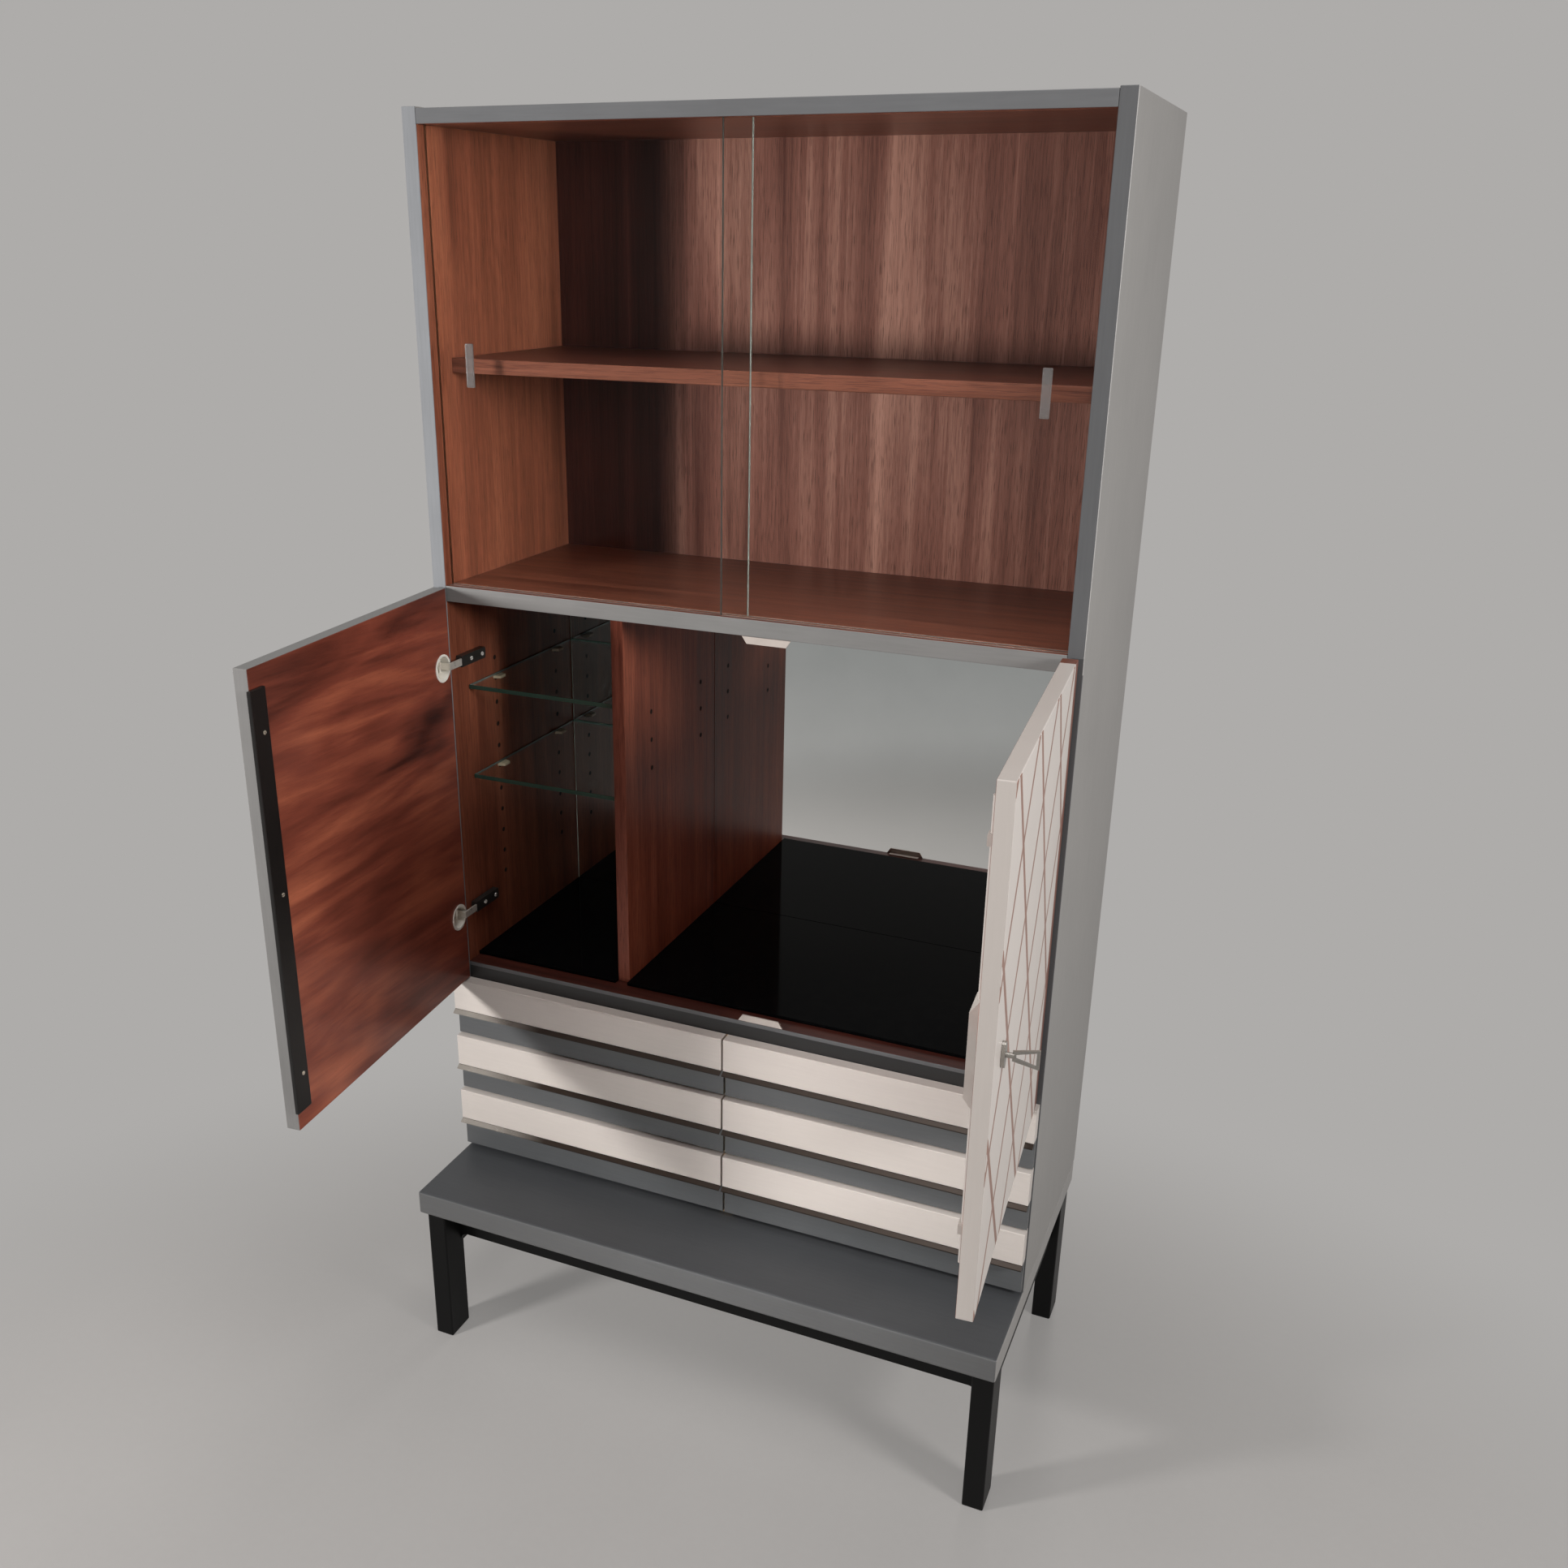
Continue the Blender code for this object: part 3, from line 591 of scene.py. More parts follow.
@dataclass(frozen=True)
class Moulded(Surface):
    """A smooth surface with a faint cloud and a fine skin, such as moulded plastic."""

    colour: Colour
    roughness: float = 0.38
    cloud: float = 45.0
    skin: float = 1600.0

    def layer(self, graph: Graph, place: Socket) -> Layer:
        """Make the smooth surface's patterns.

        Args:
            graph: The material's nodes.
            place: The piece's own coordinates.

        Returns:
            The patterns.
        """
        cloud = graph.noise(place, self.cloud, detail=3.0)
        skin = graph.noise(place, self.skin)
        colour = graph.tones(cloud, scaled(self.colour, 0.93), scaled(self.colour, 1.04))
        sheen = graph.weigh(cloud, skin, share=0.5)
        rough = graph.spread(sheen, self.roughness - 0.08, self.roughness + 0.10)
        return Layer(colour, rough, skin)


@dataclass(frozen=True)
class Brushed(Surface):
    """Metal with fine lines from polishing and some dull patches."""

    colour: Colour
    roughness: float = 0.30
    grain: Grain = Grain.ALONG_X
    line_across: float = 2400.0
    line_along: float = 40.0
    patch: float = 60.0

    def layer(self, graph: Graph, place: Socket) -> Layer:
        """Make the metal's patterns.

        Args:
            graph: The material's nodes.
            place: The piece's own coordinates.

        Returns:
            The patterns.
        """
        lines = graph.noise(place, self.grain.stretch(self.line_across, self.line_along))
        patch = graph.noise(place, self.patch, detail=4.0, roughness=0.65)
        tone = graph.weigh(lines, patch, share=0.6)
        colour = graph.tones(tone, scaled(self.colour, 0.80), scaled(self.colour, 1.12))
        rough = graph.spread(tone, self.roughness - 0.12, self.roughness + 0.16)
        return Layer(colour, rough, lines)


@dataclass(frozen=True)
class Lines(Surface):
    """Thin straight lines of bare wood left in the paint of a door.

    Each line is the place where it crosses the middle of the door's height, its
    lean in degrees from upright, and its width.
    """

    ground: Paint
    bare: Colour
    middle_z: float
    lines: tuple[tuple[float, float, float], ...]
    fibre_across: float = 500.0
    fibre_along: float = 20.0
    depth: float = 1.4

    def layer(self, graph: Graph, place: Socket) -> Layer:
        """Make the painted ground with its lines.

        Args:
            graph: The material's nodes.
            place: The door's own coordinates.

        Returns:
            The patterns.
        """
        ground = self.ground.layer(graph, place)
        parts = graph.split(place)
        drawn: Optional[Socket] = None
        for across, lean, width in self.lines:
            cosine, sine = math.cos(math.radians(lean)), math.sin(math.radians(lean))
            sideways = graph.math("MULTIPLY", parts["X"], cosine)
            away = graph.math("SUBTRACT", sideways, graph.math("MULTIPLY", parts["Z"], sine))
            away = graph.math("SUBTRACT", away, across * cosine - self.middle_z * sine)
            line = graph.math("LESS_THAN", graph.math("ABSOLUTE", away), width / 2)
            drawn = line if drawn is None else graph.math("MAXIMUM", drawn, line)
        fibre = graph.noise(place, Grain.ALONG_Z.stretch(self.fibre_across, self.fibre_along), detail=3.0)
        wood = graph.tones(fibre, scaled(self.bare, 0.72), scaled(self.bare, 1.2))
        height = graph.math("SUBTRACT", ground.height, graph.math("MULTIPLY", drawn, self.depth))
        return Layer(graph.blend(drawn, ground.colour, wood), ground.rough, height)


@dataclass(frozen=True)
class Finish:
    """A whole finish: a ground surface, with other surfaces laid in regions."""

    name: str
    ground: Surface
    laid: tuple[tuple[Region, Surface], ...] = ()
    stand: Stand = Stand()
    metallic: float = 0.0
    coat: float = 0.0
    coat_rough: float = 0.12
    bump: float = 0.12
    depth: float = 0.0006
    specular: float = 0.5

    def make(self) -> Material:
        """Build the material.

        Returns:
            The material.
        """
        graph = Graph(bpy.data.materials.new(self.name))
        place = self.stand.place(graph)
        mixed = self.ground.layer(graph, place)
        for region, surface in self.laid:
            inside = graph.within(place, region)
            upper = surface.layer(graph, place)
            mixed = Layer(
                graph.blend(inside, mixed.colour, upper.colour),
                graph.blend_value(inside, mixed.rough, upper.rough),
                graph.blend_value(inside, mixed.height, upper.height),
            )
        bump = graph.node("ShaderNodeBump")
        graph.fill(bump, {"Strength": self.bump, "Distance": self.depth, "Height": mixed.height})
        values = {
            "Base Color": mixed.colour,
            "Roughness": mixed.rough,
            "Normal": bump.outputs[0],
            "Metallic": self.metallic,
            "Specular IOR Level": self.specular,
            "Coat Weight": self.coat,
            "Coat Roughness": self.coat_rough,
        }
        return graph.close(graph.shader("ShaderNodeBsdfPrincipled", values))


@dataclass(frozen=True)
class ClearGlass:
    """Clear sheet glass that lets the lamps through, with ground ends of another tone."""

    name: str
    ends: tuple[Region, ...]
    end: Colour
    tint: Colour = (0.965, 0.985, 0.975)
    end_rough: float = 0.32
    haze: float = 0.012
    index: float = 1.11
    cloud: float = 9.0
    smear: float = 30.0
    fleck: float = 700.0

    def make(self) -> Material:
        """Build the material.

        Returns:
            The material.
        """
        graph = Graph(bpy.data.materials.new(self.name))
        place = Stand().place(graph)
        cloud = graph.noise(place, self.cloud, detail=3.0)
        colour = graph.tones(cloud, scaled(self.tint, 0.985), self.tint)
        rough = graph.spread(graph.noise(place, self.smear, detail=4.0), 0.0, self.haze)
        for region in self.ends:
            inside = graph.within(place, region)
            ground = graph.tones(graph.noise(place, self.fleck), scaled(self.end, 0.8), self.end)
            colour = graph.blend(inside, colour, ground)
            rough = graph.blend_value(inside, rough, self.end_rough)
        values = {"Base Color": colour, "Roughness": rough, "Transmission Weight": 1.0, "IOR": self.index}
        glass = graph.shader("ShaderNodeBsdfPrincipled", values)
        clear = graph.shader("ShaderNodeBsdfTransparent", {"Color": self.tint})
        shadow = graph.node("ShaderNodeLightPath").outputs["Is Shadow Ray"]
        return graph.close(graph.mixed(shadow, glass, clear))


@dataclass(frozen=True)
class ClearPlastic:
    """Hazy clear plastic, as of a cast pull glued to glass."""

    name: str
    colour: Colour = shade(196, 194, 192)
    clear: float = 0.85
    index: float = 1.49
    cloud: float = 160.0

    def make(self) -> Material:
        """Build the material.

        Returns:
            The material.
        """
        graph = Graph(bpy.data.materials.new(self.name))
        cloud = graph.noise(Stand().place(graph), self.cloud, detail=3.0)
        values = {
            "Base Color": graph.tones(cloud, scaled(self.colour, 0.9), self.colour),
            "Roughness": graph.spread(cloud, 0.10, 0.30),
            "Transmission Weight": self.clear,
            "IOR": self.index,
        }
        return graph.close(graph.shader("ShaderNodeBsdfPrincipled", values))


@dataclass(frozen=True)
class MirrorGlass:
    """Silvered glass with a faint cloud in the silvering, painted lighter low down as a painted reflection of
    the pale floor.
    """

    name: str
    reflection_band: Region
    clear: Colour = (0.61, 0.64, 0.635)
    dull: Colour = (0.55, 0.58, 0.575)
    bright: Colour = (0.985, 0.985, 0.97)
    cloud: float = 6.0

    def make(self) -> Material:
        """Build the material.

        Returns:
            The material.
        """
        graph = Graph(bpy.data.materials.new(self.name))
        place = Stand().place(graph)
        cloud = graph.noise(place, self.cloud, detail=5.0, roughness=0.6)
        silver = graph.tones(cloud, self.dull, self.clear)
        values = {
            "Base Color": graph.blend(graph.within(place, self.reflection_band), silver, self.bright),
            "Roughness": graph.spread(cloud, 0.0, 0.03),
            "Metallic": 1.0,
        }
        return graph.close(graph.shader("ShaderNodeBsdfPrincipled", values))


@dataclass(frozen=True)
class BlackGlass:
    """Polished black glass with a little dust."""

    name: str
    clean: Colour = shade(5, 5, 6)
    dusty: Colour = shade(11, 11, 11)
    index: float = 1.08
    dust: float = 60.0

    def make(self) -> Material:
        """Build the material.

        Returns:
            The material.
        """
        graph = Graph(bpy.data.materials.new(self.name))
        dust = graph.noise(Stand().place(graph), self.dust, detail=5.0, roughness=0.7)
        values = {
            "Base Color": graph.ramp(dust, ((0.4, self.clean), (0.75, self.dusty))),
            "Roughness": graph.spread(dust, 0.02, 0.12),
            "IOR": self.index,
        }
        return graph.close(graph.shader("ShaderNodeBsdfPrincipled", values))


# GREY is the one grey paint of the boards. The boards' front edges take darker copies of it, painted shade
# set for the light on each edge; the left side's front edge is less dark, where more light falls on it.
GREY = shade(138, 135, 132)
SHADED_EDGE_GREY = shade(88, 88, 89)
WHITE = shade(198, 189, 182)
DOOR_WHITE = shade(200, 191, 184)
# The plinth's front, a darker copy of the grey as painted shade.
SHADED_PLINTH_GREY = shade(92, 92, 92)
BLACK = shade(10, 10, 10)

GREY_UPRIGHT = Paint(GREY)
GREY_EDGE_SHADE = Paint(SHADED_EDGE_GREY)
GREY_LIT_EDGE = Paint(shade(126, 127, 129))
GREY_TOP = Paint(GREY, grain=Grain.ALONG_X)
GREY_TOP_EDGE_SHADE = Paint(shade(97, 97, 98), grain=Grain.ALONG_X)
# A painted highlight along the front right corner of the right side board.
GREY_ARRIS_HIGHLIGHT = Paint(shade(170, 167, 164))
GREY_LEVEL_SHADE = Paint(SHADED_EDGE_GREY, grain=Grain.ALONG_X)
MIDDLE_EDGE_SHADE = Paint(shade(120, 119, 117), grain=Grain.ALONG_X)
# The drawer recesses, painted darker as the shade under the slats.
RECESS_SHADE_GREY = Paint(shade(86, 87, 88), grain=Grain.ALONG_X)
# Near black paint for the lower part of the bar floor's front edge, as painted shade.
FLOOR_EDGE_SHADE = Paint(shade(36, 36, 36), grain=Grain.ALONG_X)
WHITE_LEVEL = Paint(WHITE, roughness=0.36, grain=Grain.ALONG_X, mottle=0.03)
WHITE_UPRIGHT = Paint(DOOR_WHITE, roughness=0.36, mottle=0.02)

WALL_WOOD = Timber(
    shade(92, 48, 34), shade(130, 73, 52), shade(160, 96, 70),
    band=44.0, streak=260.0, figure=(8.0, 8.0, 1.6), figured=0.26,
)
DIVIDER_WOOD = replace(
    WALL_WOOD, dark=shade(104, 52, 38), middle=shade(148, 82, 60), light=shade(180, 108, 82), figured=0.3
)
# The back board's left end, painted darker as the shadow that the left side board casts on it.
SHADOW_RIBBON = Timber(
    shade(36, 15, 12), shade(58, 26, 21), shade(80, 40, 33),
    band=26.0, streak=320.0, draw=0.022, wander=0.9,
)
RIBBON_WOOD = replace(
    SHADOW_RIBBON, dark=shade(76, 42, 35), middle=shade(126, 82, 71), light=shade(172, 124, 109),
    figure=(10.0, 10.0, 1.5), figured=0.34, streaked=0.32,
)
# The same veneer darker, laid softly towards the right end of the back board.
FAR_RIBBON = replace(RIBBON_WOOD, dark=shade(54, 28, 23), middle=shade(92, 55, 46), light=shade(128, 84, 72))
LEVEL_WOOD = Timber(shade(70, 35, 26), shade(106, 58, 43), shade(134, 78, 58), Grain.ALONG_X, band=60.0)
# The vitrine shelf's top, painted darker than its front edge as the shade on it from light that comes from
# below the shelf.
SHADED_SHELF_WOOD = Timber(shade(58, 28, 21), shade(86, 44, 33), shade(108, 58, 44), Grain.ALONG_X, band=60.0)
SHELF_EDGE = Timber(shade(76, 40, 30), shade(101, 57, 43), shade(122, 73, 57), Grain.ALONG_X, band=60.0)
EDGE_WOOD = Timber(shade(78, 39, 29), shade(114, 61, 47), shade(140, 80, 62), band=60.0)
HINGE_WOOD = Timber(shade(92, 52, 41), shade(120, 74, 60), shade(140, 90, 74), band=60.0)
DOOR_WOOD = Timber(
    shade(50, 21, 17), shade(130, 65, 49), shade(188, 107, 77), Grain.ALONG_X,
    band=15.0, streak=120.0, draw=0.12, wander=1.6, pore=0.16, slope=4.0,
    figure=(1.8, 4.6, 4.6), figured=0.5, streaked=0.26,
)
# The bar floor's top, painted darker as the shade that falls in the bar.
SHADED_FLOOR_WOOD = Timber(shade(44, 20, 16), shade(68, 32, 25), shade(88, 44, 34), Grain.ALONG_X, band=60.0)
TRACK_WOOD = Timber(shade(150, 100, 82), shade(184, 132, 112), shade(204, 156, 136), Grain.ALONG_X)
PALE_WOOD = Timber(
    shade(176, 142, 100), shade(200, 168, 124), shade(218, 190, 148), Grain.ALONG_Y,
    band=36.0, pore=0.25, roughness=0.5,
)
RAW_BOARD = Timber(
    shade(112, 78, 52), shade(140, 102, 70), shade(160, 122, 88),
    band=20.0, pore=0.3, roughness=0.62,
)
LOCK_PLASTIC = Moulded(shade(203, 195, 187))
PEG_PLASTIC = Moulded(shade(208, 190, 164), roughness=0.34)


class Mesh:
    """A mesh in the making, put together from small shapes."""

    def __init__(self) -> None:
        """Start an empty mesh."""
        self.whole = bmesh.new()

    def add(self, part: bmesh.types.BMesh, place: Matrix, material: int = 0) -> None:
        """Join a shape to the mesh and free it.

        Args:
            part: The shape, made around the origin.
            place: Where it goes.
            material: The index of its material.
        """
        bmesh.ops.remove_doubles(part, verts=part.verts, dist=1e-7)
        bmesh.ops.recalc_face_normals(part, faces=part.faces)
        part.transform(place)
        for face in part.faces:
            face.material_index = material
        mesh = bpy.data.meshes.new("part")
        part.to_mesh(mesh)
        part.free()
        self.whole.from_mesh(mesh)
        bpy.data.meshes.remove(mesh)

    def piece(self, name: str, body: str, slot: str, materials: Sequence[Material]) -> bpy.types.Object:
        """Make the mesh an object that rides on a body.

        Args:
            name: The piece's name.
            body: The body that it rides on.
            slot: The record's slot for the piece; not used.
            materials: Its materials, in the order of their indices.

        Returns:
            The piece.
        """
        mesh = bpy.data.meshes.new(name)
        self.whole.to_mesh(mesh)
        self.whole.free()
        for material in materials:
            mesh.materials.append(material)
        piece = bpy.data.objects.new(name, mesh)
        bpy.context.scene.collection.objects.link(piece)
        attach(piece, body)
        LOG.info("piece %s on %s", name, body)
        return piece


def facing(point: Vector, normal: Vector) -> Matrix:
    """Return the place that puts a shape's origin on a point and its Z along a normal."""
    return Matrix.Translation(point) @ normal.to_track_quat("Z", "Y").to_matrix().to_4x4()


def round_edges(shape: bmesh.types.BMesh, edges: Sequence[bmesh.types.BMEdge], width: float) -> None:
    """Round some edges of a shape.

    Args:
        shape: The shape.
        edges: The edges.
        width: How far the rounding reaches.
    """
    bmesh.ops.bevel(
        shape, geom=edges, offset=width, offset_type="OFFSET",
        segments=2, profile=0.5, affect="EDGES", material=-1,
    )


def end_regions(name: str, width: float) -> tuple[Region, Region]:
    """Return the left and the right end of a glass sheet, each of a width."""
    low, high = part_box(name)
    return Region(x=(None, low.x + width)), Region(x=(high.x - width, None))


@dataclass(frozen=True)
class ScrewHead:
    """A low screw head with a slot, whose floor is a narrower disc that takes the second material, the slot's
    painted shade.
    """

    radius: float = 0.0030
    height: float = 0.0011
    slot: float = 0.0007
    round_share: float = 0.45
    floor_share: float = 0.97
    floor_height: float = 0.5
    segments: int = 20

    def add(self, mesh: Mesh, place: Matrix, turn: float) -> None:
        """Add a head to a mesh.

        Args:
            mesh: The mesh that gets it.
            place: The head's seat, with Z outwards.
            turn: How the slot lies, in degrees.
        """
        seat = place @ Matrix.Rotation(math.radians(turn), 4, "Z")
        for way in (-1, 1):
            half = bmesh.new()
            bmesh.ops.create_circle(half, cap_ends=True, segments=self.segments, radius=self.radius)
            geometry = half.verts[:] + half.edges[:] + half.faces[:]
            wall = (way * self.slot / 2, 0, 0)
            bmesh.ops.bisect_plane(half, geom=geometry, plane_co=wall, plane_no=(way, 0, 0), clear_inner=True)
            top = bmesh.ops.extrude_face_region(half, geom=half.faces[:])
            raised = [item for item in top["geom"] if isinstance(item, bmesh.types.BMVert)]
            bmesh.ops.translate(half, vec=(0, 0, self.height), verts=raised)
            rim = [edge for edge in half.edges if all(vertex in raised for vertex in edge.verts)]
            round_edges(half, rim, self.height * self.round_share)
            mesh.add(half, seat)
        floor = bmesh.new()
        wide = self.radius * self.floor_share
        deep = self.height * self.floor_height
        bmesh.ops.create_cone(
            floor, cap_ends=True, segments=self.segments, radius1=wide, radius2=wide, depth=deep
        )
        mesh.add(floor, seat @ Matrix.Translation((0, 0, deep / 2)), 1)


@dataclass(frozen=True)
class PegHole:
    """A drilled hole for a shelf peg, shown on the board by a pale rim, which is a painted glint, and a dark
    disc, which is the painted shade inside the hole.
    """

    radius: float = 0.0036
    rim: float = 0.0020
    lean: float = 0.0018
    proud: float = 0.0002
    dish: float = 0.00008
    bore_share: float = 1.02
    bore_lift: float = 0.00024
    segments: int = 14

    def add(self, mesh: Mesh, place: Matrix, way: int) -> None:
        """Add a hole to a mesh.

        Args:
            mesh: The mesh that gets it.
            place: The hole's mouth, with Z out of the board.
            way: Where the wider side of the rim lies along the place's X.
        """
        ring = bmesh.new()
        bmesh.ops.create_circle(ring, cap_ends=True, segments=self.segments, radius=self.radius + self.rim)
        bmesh.ops.translate(ring, vec=(0, 0, self.proud), verts=ring.verts)
        bmesh.ops.inset_region(ring, faces=ring.faces[:], thickness=self.rim, depth=-self.dish)
        mouth = min(ring.faces, key=lambda face: face.calc_center_median().length)
        bmesh.ops.delete(ring, geom=[mouth], context="FACES_ONLY")
        mesh.add(ring, place)
        bore = bmesh.new()
        wide = self.radius * self.bore_share
        bmesh.ops.create_circle(bore, cap_ends=True, segments=self.segments, radius=wide)
        bmesh.ops.translate(bore, vec=(-way * self.lean, 0, self.bore_lift), verts=bore.verts)
        mesh.add(bore, place, 1)


@dataclass(frozen=True)
class EdgeStrip:
    """The rounded ground edge of a glass sheet, which shows in another tone than its face."""

    proud: float = 0.0003
    sink: float = 0.0004
    rounding: float = 0.0003

    def add(self, mesh: Mesh, low: Vector, high: Vector, material: int = 0) -> None:
        """Add the strip of an edge that has no depth along one axis.

        Args:
            mesh: The mesh that gets it.
            low: The edge's lowest corner.
            high: The edge's highest corner.
            material: The index of its material.
        """
        size = [max(far - near, self.proud + self.sink) for near, far in zip(low, high)]
        strip = bmesh.new()
        bmesh.ops.create_cube(strip, size=1.0)
        bmesh.ops.scale(strip, vec=size, verts=strip.verts)
        round_edges(strip, strip.edges[:], self.rounding)
        mesh.add(strip, Matrix.Translation((low + high) / 2), material)


class Nodes:
    """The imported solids, which are dressed by name."""

    def __init__(self, frame: dict) -> None:
        """Keep the nodes and joints of the frame that was loaded."""
        self.objects: dict[str, bpy.types.Object] = frame["nodes"]
        self.joints: dict[str, dict] = {joint["name"]: joint for joint in frame["joints"]}

    def dress(self, material: Material, *names: str) -> None:
        """Give solids a material.

        Args:
            material: The material.
            *names: The solids.
        """
        for name in names:
            self.objects[name].material_slots[0].material = material
            LOG.info("dressed %s in %s", name, material.name)

    def low(self, name: str) -> Vector:
        """Return a solid's lowest corner."""
        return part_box(name)[0]

    def high(self, name: str) -> Vector:
        """Return a solid's highest corner."""
        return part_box(name)[1]


@dataclass
class Base:
    """The black frame on four legs and the plinth board on it."""

    top_skin: float = 0.0012
    side_skin: float = 0.0010
    roughness: float = 0.44
    gloss: float = 0.18

    def dress(self, nodes: Nodes) -> None:
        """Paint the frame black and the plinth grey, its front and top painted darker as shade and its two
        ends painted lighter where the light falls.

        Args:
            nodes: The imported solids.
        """
        black = Paint(BLACK, self.roughness, mottle=0.12)
        frame = Finish("black_frame_paint", black, specular=self.gloss)
        apron = Finish("black_apron_paint", replace(black, grain=Grain.ALONG_X), specular=self.gloss)
        nodes.dress(frame.make(), "base_frame_left", "base_frame_right")
        nodes.dress(apron.make(), "front_apron", "rear_apron")
        low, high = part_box("plinth_board")
        # The plinth's top is painted darker as shade, and its two ends lighter where the light falls on them.
        shaded_top = Paint(shade(65, 66, 68), self.roughness, Grain.ALONG_X, mottle=0.09)
        lit_end = Paint(shade(144, 141, 138), self.roughness, Grain.ALONG_Y)
        laid = (
            (Region(z=(high.z - self.top_skin, None)), shaded_top),
            (Region(x=(high.x - self.side_skin, None)), lit_end),
            (Region(x=(None, low.x + self.side_skin)), lit_end),
        )
        plinth = Finish("plinth_paint", Paint(SHADED_PLINTH_GREY, roughness=0.40, grain=Grain.ALONG_X), laid)
        nodes.dress(plinth.make(), "plinth_board")


@dataclass
class Carcass:
    """The boards of the cabinet, painted outside and veneered inside."""

    board: float = 0.020
    peg_reach: float = 0.011
    bar_from: float = 0.604
    front_skin: float = 0.0012
    arris: float = 0.0008
    floor_lip: float = 0.006
    side_shadow_end: float = -0.278
    side_shadow_fade: float = 0.05
    far_from: float = 0.33
    far_fade: float = 0.16
    track_lines: tuple[float, ...] = (0.0055, 0.0110, 0.0150, 0.0205)
    track_line: float = 0.0011
    level_coat: float = 0.1
    board_gloss: float = 0.3
    divider_gloss: float = 0.2

    def dress(self, nodes: Nodes) -> None:
        """Paint and veneer the boards.

        Args:
            nodes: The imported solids.
        """
        self.dress_sides(nodes)
        self.dress_levels(nodes)
        self.dress_back(nodes)
        low = nodes.low("divider_panel")
        front = Region(y=(None, low.y + SKIN))
        pegs = Region(x=(None, low.x + self.peg_reach - SKIN))
        laid = ((front, EDGE_WOOD), (pegs, PEG_PLASTIC))
        divider = Finish("divider_veneer", DIVIDER_WOOD, laid, specular=self.divider_gloss)
        nodes.dress(divider.make(), "divider_panel")
        nodes.dress(Finish("partition_wood", PALE_WOOD).make(), "drawer_partition")

    def dress_sides(self, nodes: Nodes) -> None:
        """Dress the two side boards.

        Args:
            nodes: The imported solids.
        """
        # The front edges are painted darker than the sides, as painted shade; the left one is less dark,
        # where more light falls on it.
        edge = Region(y=(None, nodes.low("side_left").y + self.front_skin))
        under = nodes.high("top_panel").z - SKIN
        left = nodes.low("side_left").x + self.board
        inside = Region(x=(left - SKIN, None), z=(None, under))
        pegs = Region(x=(left + SKIN, None), z=(self.bar_from, None))
        laid = ((inside, WALL_WOOD), (edge, GREY_LIT_EDGE), (pegs, PEG_PLASTIC))
        finish = Finish("left_side_board", GREY_UPRIGHT, laid, specular=self.board_gloss)
        nodes.dress(finish.make(), "side_left")
        low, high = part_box("side_right")
        right = high.x - self.board
        inside = Region(x=(None, right + SKIN), z=(None, under))
        pegs = Region(x=(None, right - SKIN), z=(self.bar_from, None))
        # A thin strip at the front right corner, above the middle board, carries a painted highlight.
        corner = Region(
            x=(high.x - self.arris, None),
            y=(None, low.y + self.arris),
            z=(nodes.low("middle_panel").z, None),
        )
        laid = ((inside, WALL_WOOD), (edge, GREY_EDGE_SHADE), (pegs, PEG_PLASTIC), (corner, GREY_ARRIS_HIGHLIGHT))
        finish = Finish("right_side_board", GREY_UPRIGHT, laid, specular=self.board_gloss)
        nodes.dress(finish.make(), "side_right")

    def dress_levels(self, nodes: Nodes) -> None:
        """Dress the top, middle and floor boards.

        Args:
            nodes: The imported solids.
        """
        # The front edges of the middle, top and floor boards take darker copies of the grey, as painted
        # shade.
        low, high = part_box("middle_panel")
        laid = [
            (Region(y=(low.y + SKIN, None), z=(high.z - SKIN, None)), LEVEL_WOOD),
            (Region(y=(low.y + SKIN, None), z=(None, low.z + SKIN)), LEVEL_WOOD),
        ]
        for step in self.track_lines:
            line = Region(y=(low.y + step, low.y + step + self.track_line), z=(high.z - SKIN, None))
            laid.append((line, TRACK_WOOD))
        middle = Finish("middle_board", MIDDLE_EDGE_SHADE, tuple(laid), coat=self.level_coat)
        nodes.dress(middle.make(), "middle_panel")
        low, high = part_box("top_panel")
        laid = (
            (Region(y=(low.y + SKIN, None), z=(None, low.z + SKIN)), LEVEL_WOOD),
            (Region(y=(low.y + SKIN, None), z=(high.z - SKIN, None)), GREY_TOP),
        )
        top = Finish("top_board", GREY_TOP_EDGE_SHADE, laid, coat=self.level_coat)
        nodes.dress(top.make(), "top_panel")
        low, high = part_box("bar_floor")
        # The bar floor's top wood is painted darker as the shade under the middle board, and the lower part
        # of its front edge near black as the shade below its lit upper strip.
        laid = (
            (Region(y=(low.y + SKIN, None), z=(high.z - SKIN, None)), SHADED_FLOOR_WOOD),
            (Region(y=(low.y + SKIN, None), z=(None, low.z + SKIN)), PALE_WOOD),
            (Region(y=(None, low.y + self.front_skin), z=(None, high.z - self.floor_lip)), FLOOR_EDGE_SHADE),
        )
        floor = Finish("bar_floor_board", GREY_LEVEL_SHADE, laid, coat=self.level_coat)
        nodes.dress(floor.make(), "bar_floor")

    def dress_back(self, nodes: Nodes) -> None:
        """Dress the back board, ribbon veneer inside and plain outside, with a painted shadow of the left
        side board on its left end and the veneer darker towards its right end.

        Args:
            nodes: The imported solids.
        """
        outside = Region(y=(nodes.high("back_panel").y - SKIN, None))
        side_shadow = Region(x=(None, self.side_shadow_end), soft=self.side_shadow_fade)
        far = Region(x=(self.far_from, None), soft=self.far_fade)
        laid = ((side_shadow, SHADOW_RIBBON), (far, FAR_RIBBON), (outside, RAW_BOARD))
        back = Finish("back_board", RIBBON_WOOD, laid, specular=self.board_gloss)
        nodes.dress(back.make(), "back_panel")


